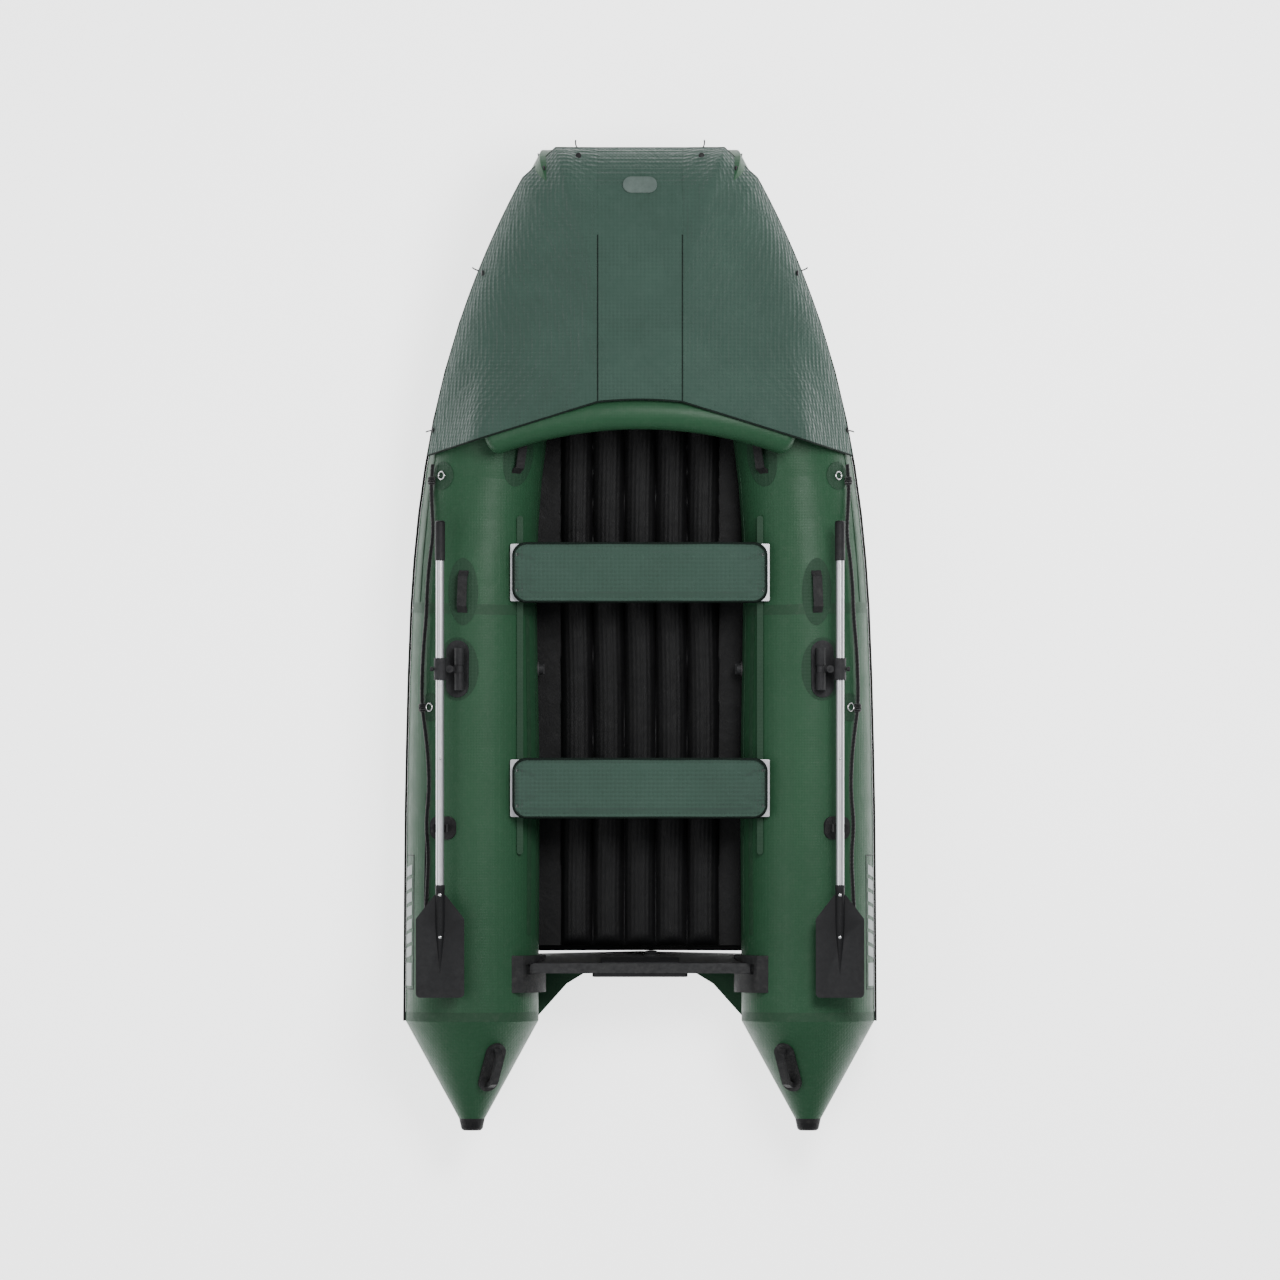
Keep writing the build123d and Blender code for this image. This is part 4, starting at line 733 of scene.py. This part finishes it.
piping = settle(joined("dodger_piping", edges), "hull", piping_cloth, 60)
dodger_piece = joined("dodger_cloth", panels)
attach(dodger_piece, "hull")
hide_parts("dodger")

# ---------- ties from the hem to the rub strake ----------
for side_name, side in SIDES.items():
    for k, v in enumerate(TIES):
        line = cloth_row(v)
        hem, inner = line[-1], line[-3]
        down = (hem - inner).normalized()
        foot = hem + down * 0.050 + Vector((hem.x - inner.x, hem.y - inner.y, 0)).normalized() * 0.004
        middle = (hem + foot) / 2 + Vector((down.z, 0, 0)) * -0.006
        path = []
        for i in range(15):
            f = i / 14
            path.append(hem * (1 - f) ** 2 + middle * 2 * f * (1 - f) + foot * f * f)
        path = [Vector((p.x * side, p.y, p.z)) for p in path]
        tie = swept("tie", path, 0.0028)
        bpy.ops.mesh.primitive_cylinder_add(vertices=24, radius=0.010, depth=0.006, location=(0, 0, 0))
        button = bpy.context.object
        applied(button, "BEVEL", width=0.002, segments=3, limit_method="ANGLE")
        normal = Vector((side * (hem.x - CORNER.x * 0.9), 0, 0.06)).normalized()
        button.rotation_mode = "QUATERNION"
        button.rotation_quaternion = normal.to_track_quat("Z", "Y")
        button.location = Vector((inner.x * side, inner.y, inner.z)) + normal * 0.004
        for piece in (tie, button):
            only(piece)
            bpy.ops.object.transform_apply(location=True, rotation=True, scale=True)
        made = settle(joined(f"{side_name}_dodger_tie_{k}", [tie, button]), "hull", plastic, 40)


# ---------- bench cushions ----------
CUSHION = (0.906, 0.214)
CUSHION_Z = (0.4438, 0.4860)
BENCH_YS = {"front": 0.240, "rear": -0.527}
TRIM = 0.008                           # each cushion starts from a box this much smaller
FRAMES = 20


def pressed(obj, pinned, strength, cap):
    """Fills a cushion with a short cloth simulation, its seams held, no point moving more than the cap."""
    rest = [v.co.copy() for v in obj.data.vertices]
    group = obj.vertex_groups.new(name="held")
    group.add([v.index for v in obj.data.vertices if pinned(v.co)], 1.0, "REPLACE")
    cloth = obj.modifiers.new("cloth", "CLOTH")
    cloth.settings.quality = 4
    cloth.settings.mass = 0.2
    cloth.settings.tension_stiffness = 8
    cloth.settings.compression_stiffness = 8
    cloth.settings.bending_stiffness = 0.4
    cloth.settings.use_pressure = True
    cloth.settings.uniform_pressure_force = strength
    cloth.settings.effector_weights.gravity = 0.0
    cloth.settings.vertex_group_mass = "held"
    cloth.point_cache.frame_start = 1
    cloth.point_cache.frame_end = FRAMES
    for frame_number in range(1, FRAMES + 1):
        bpy.context.scene.frame_set(frame_number)
    only(obj)
    bpy.ops.object.modifier_apply(modifier=cloth.name)
    bpy.context.scene.frame_set(1)
    for vertex, start in zip(obj.data.vertices, rest):
        moved = vertex.co - start
        if moved.length > cap:
            vertex.co = start + moved * cap / moved.length


def outline(z, grow, corner=0.046, per_corner=12, per_side=26):
    """A level rounded rectangle round the cushion, as closely spaced points."""
    half_x, half_y = CUSHION[0] / 2 + grow, CUSHION[1] / 2 + grow
    corners = ((half_x - corner, half_y - corner, 0), (corner - half_x, half_y - corner, 90),
               (corner - half_x, corner - half_y, 180), (half_x - corner, corner - half_y, 270))
    points = []
    for k, (x, y, start) in enumerate(corners):
        for i in range(per_corner + 1):
            turn = math.radians(start + 90 * i / per_corner)
            points.append(Vector((x + corner * math.cos(turn), y + corner * math.sin(turn), z)))
        nx, ny, nstart = corners[(k + 1) % 4]
        ahead = math.radians(nstart)
        last = Vector((nx + corner * math.cos(ahead), ny + corner * math.sin(ahead), z))
        first = points[-1]
        points += [first.lerp(last, i / per_side) for i in range(1, per_side)]
    return points


for bench, bench_y in BENCH_YS.items():
    low, high = CUSHION_Z
    bpy.ops.mesh.primitive_cube_add(size=1, location=(0, 0, (low + high) / 2))
    cushion = bpy.context.object
    cushion.name = f"{bench}_cushion"
    cushion.scale = (CUSHION[0] - TRIM, CUSHION[1] - TRIM, high - low - TRIM)
    bpy.ops.object.transform_apply(location=True, rotation=False, scale=True)
    for edge in cushion.data.edges:
        a, b = (cushion.data.vertices[i].co for i in edge.vertices)
        edge.select = abs(a.z - b.z) > 0.02
    bpy.ops.object.mode_set(mode="EDIT")
    bpy.ops.mesh.select_mode(type="EDGE")
    bpy.ops.object.mode_set(mode="OBJECT")
    for edge in cushion.data.edges:
        a, b = (cushion.data.vertices[i].co for i in edge.vertices)
        edge.select = abs(a.z - b.z) > 0.02
    bpy.ops.object.mode_set(mode="EDIT")
    bpy.ops.mesh.bevel(offset=0.044, segments=8, affect="EDGES")
    bpy.ops.object.mode_set(mode="OBJECT")
    applied(cushion, "REMESH", mode="VOXEL", voxel_size=0.006)
    top, bottom = high - 0.007, low + 0.007
    half_x, half_y = CUSHION[0] / 2 - 0.009, CUSHION[1] / 2 - 0.009

    def held(co):
        """The bottom and the seam round the top."""
        rim = abs(co.x) > half_x or abs(co.y) > half_y
        return co.z < bottom or (rim and co.z > top)
    pressed(cushion, held, 4.0, 0.006)
    for vertex in cushion.data.vertices:
        x, y = vertex.co.x, vertex.co.y
        inside = max(1 - abs(x) / (CUSHION[0] / 2), 0) * max(1 - abs(y) / (CUSHION[1] / 2), 0)
        if vertex.co.z > (low + high) / 2:
            wave = math.sin(x * 23 + 1.3 * bench_y) * math.sin(y * 31 + x * 9)
            wave += 0.5 * math.sin(x * 61 - y * 40)
            vertex.co.z += 0.0016 * wave * ease(inside * 4)
        vertex.co.z = min(max(vertex.co.z, low), high + 0.010)
        vertex.co.y += bench_y
    applied(cushion, "SMOOTH", factor=0.5, iterations=3)
    outward(cushion)
    settle(cushion, f"{bench}_bench", cushion_cloth, 60)
    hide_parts(f"{bench}_bench_cushion")
    rings = []
    for z, grow in ((high - 0.0045, -0.0045), (low + 0.0045, -0.0015)):
        loop = [p + Vector((0, bench_y, 0.0012 * math.sin(p.x * 17))) for p in outline(z, grow)]
        rings.append(ring_tube("piping", loop, 0.0028))
    edge_cord = settle(joined(f"{bench}_cushion_piping", rings), f"{bench}_bench", piping_cloth, 60)

# ---------- oar ridges and rivets ----------
OAR_X, OAR_Z = 0.710, 0.540
RIDGE_Y, RIDGE_L, RIDGE_RINGS = -0.885, 0.315, 24
RIDGE_R, RIDGE_TIP_R = 0.0165, 0.0030
RIVETS = ((-0.905, 0.0155), (-1.055, 0.0120))         # station, and height over the oar's centre line


def tapered(obj, points, radii):
    """Scales each ring of a swept tube that runs along Y to its own radius."""
    base = radii[0]
    for vertex in obj.data.vertices:
        at = min(range(len(points)), key=lambda i: abs(vertex.co.y - points[i].y))
        vertex.co = points[at] + (vertex.co - points[at]) * radii[at] / base


for side_name, side in SIDES.items():
    shares = [i / (RIDGE_RINGS - 1) for i in range(RIDGE_RINGS)]
    path = [Vector((side * OAR_X, RIDGE_Y - RIDGE_L * f, OAR_Z)) for f in shares]
    ridge = swept(f"{side_name}_blade_ridge", path, RIDGE_R, 20)
    tapered(ridge, path, [RIDGE_R - (RIDGE_R - RIDGE_TIP_R) * ease((f - 0.35) / 0.65) for f in shares])
    settle(ridge, f"{side_name}_oar", plastic, 50)
    heads = []
    for y, rise in RIVETS:
        bpy.ops.mesh.primitive_uv_sphere_add(segments=24, ring_count=12, radius=0.0062,
                                             location=(side * OAR_X, y, OAR_Z + rise))
        head = bpy.context.object
        head.scale = (1, 1, 0.5)
        heads.append(head)
    for head in heads:
        head.select_set(True)
    bpy.ops.object.transform_apply(location=True, rotation=True, scale=True)
    rivets = settle(joined(f"{side_name}_rivets", heads), f"{side_name}_oar", steel, 60)
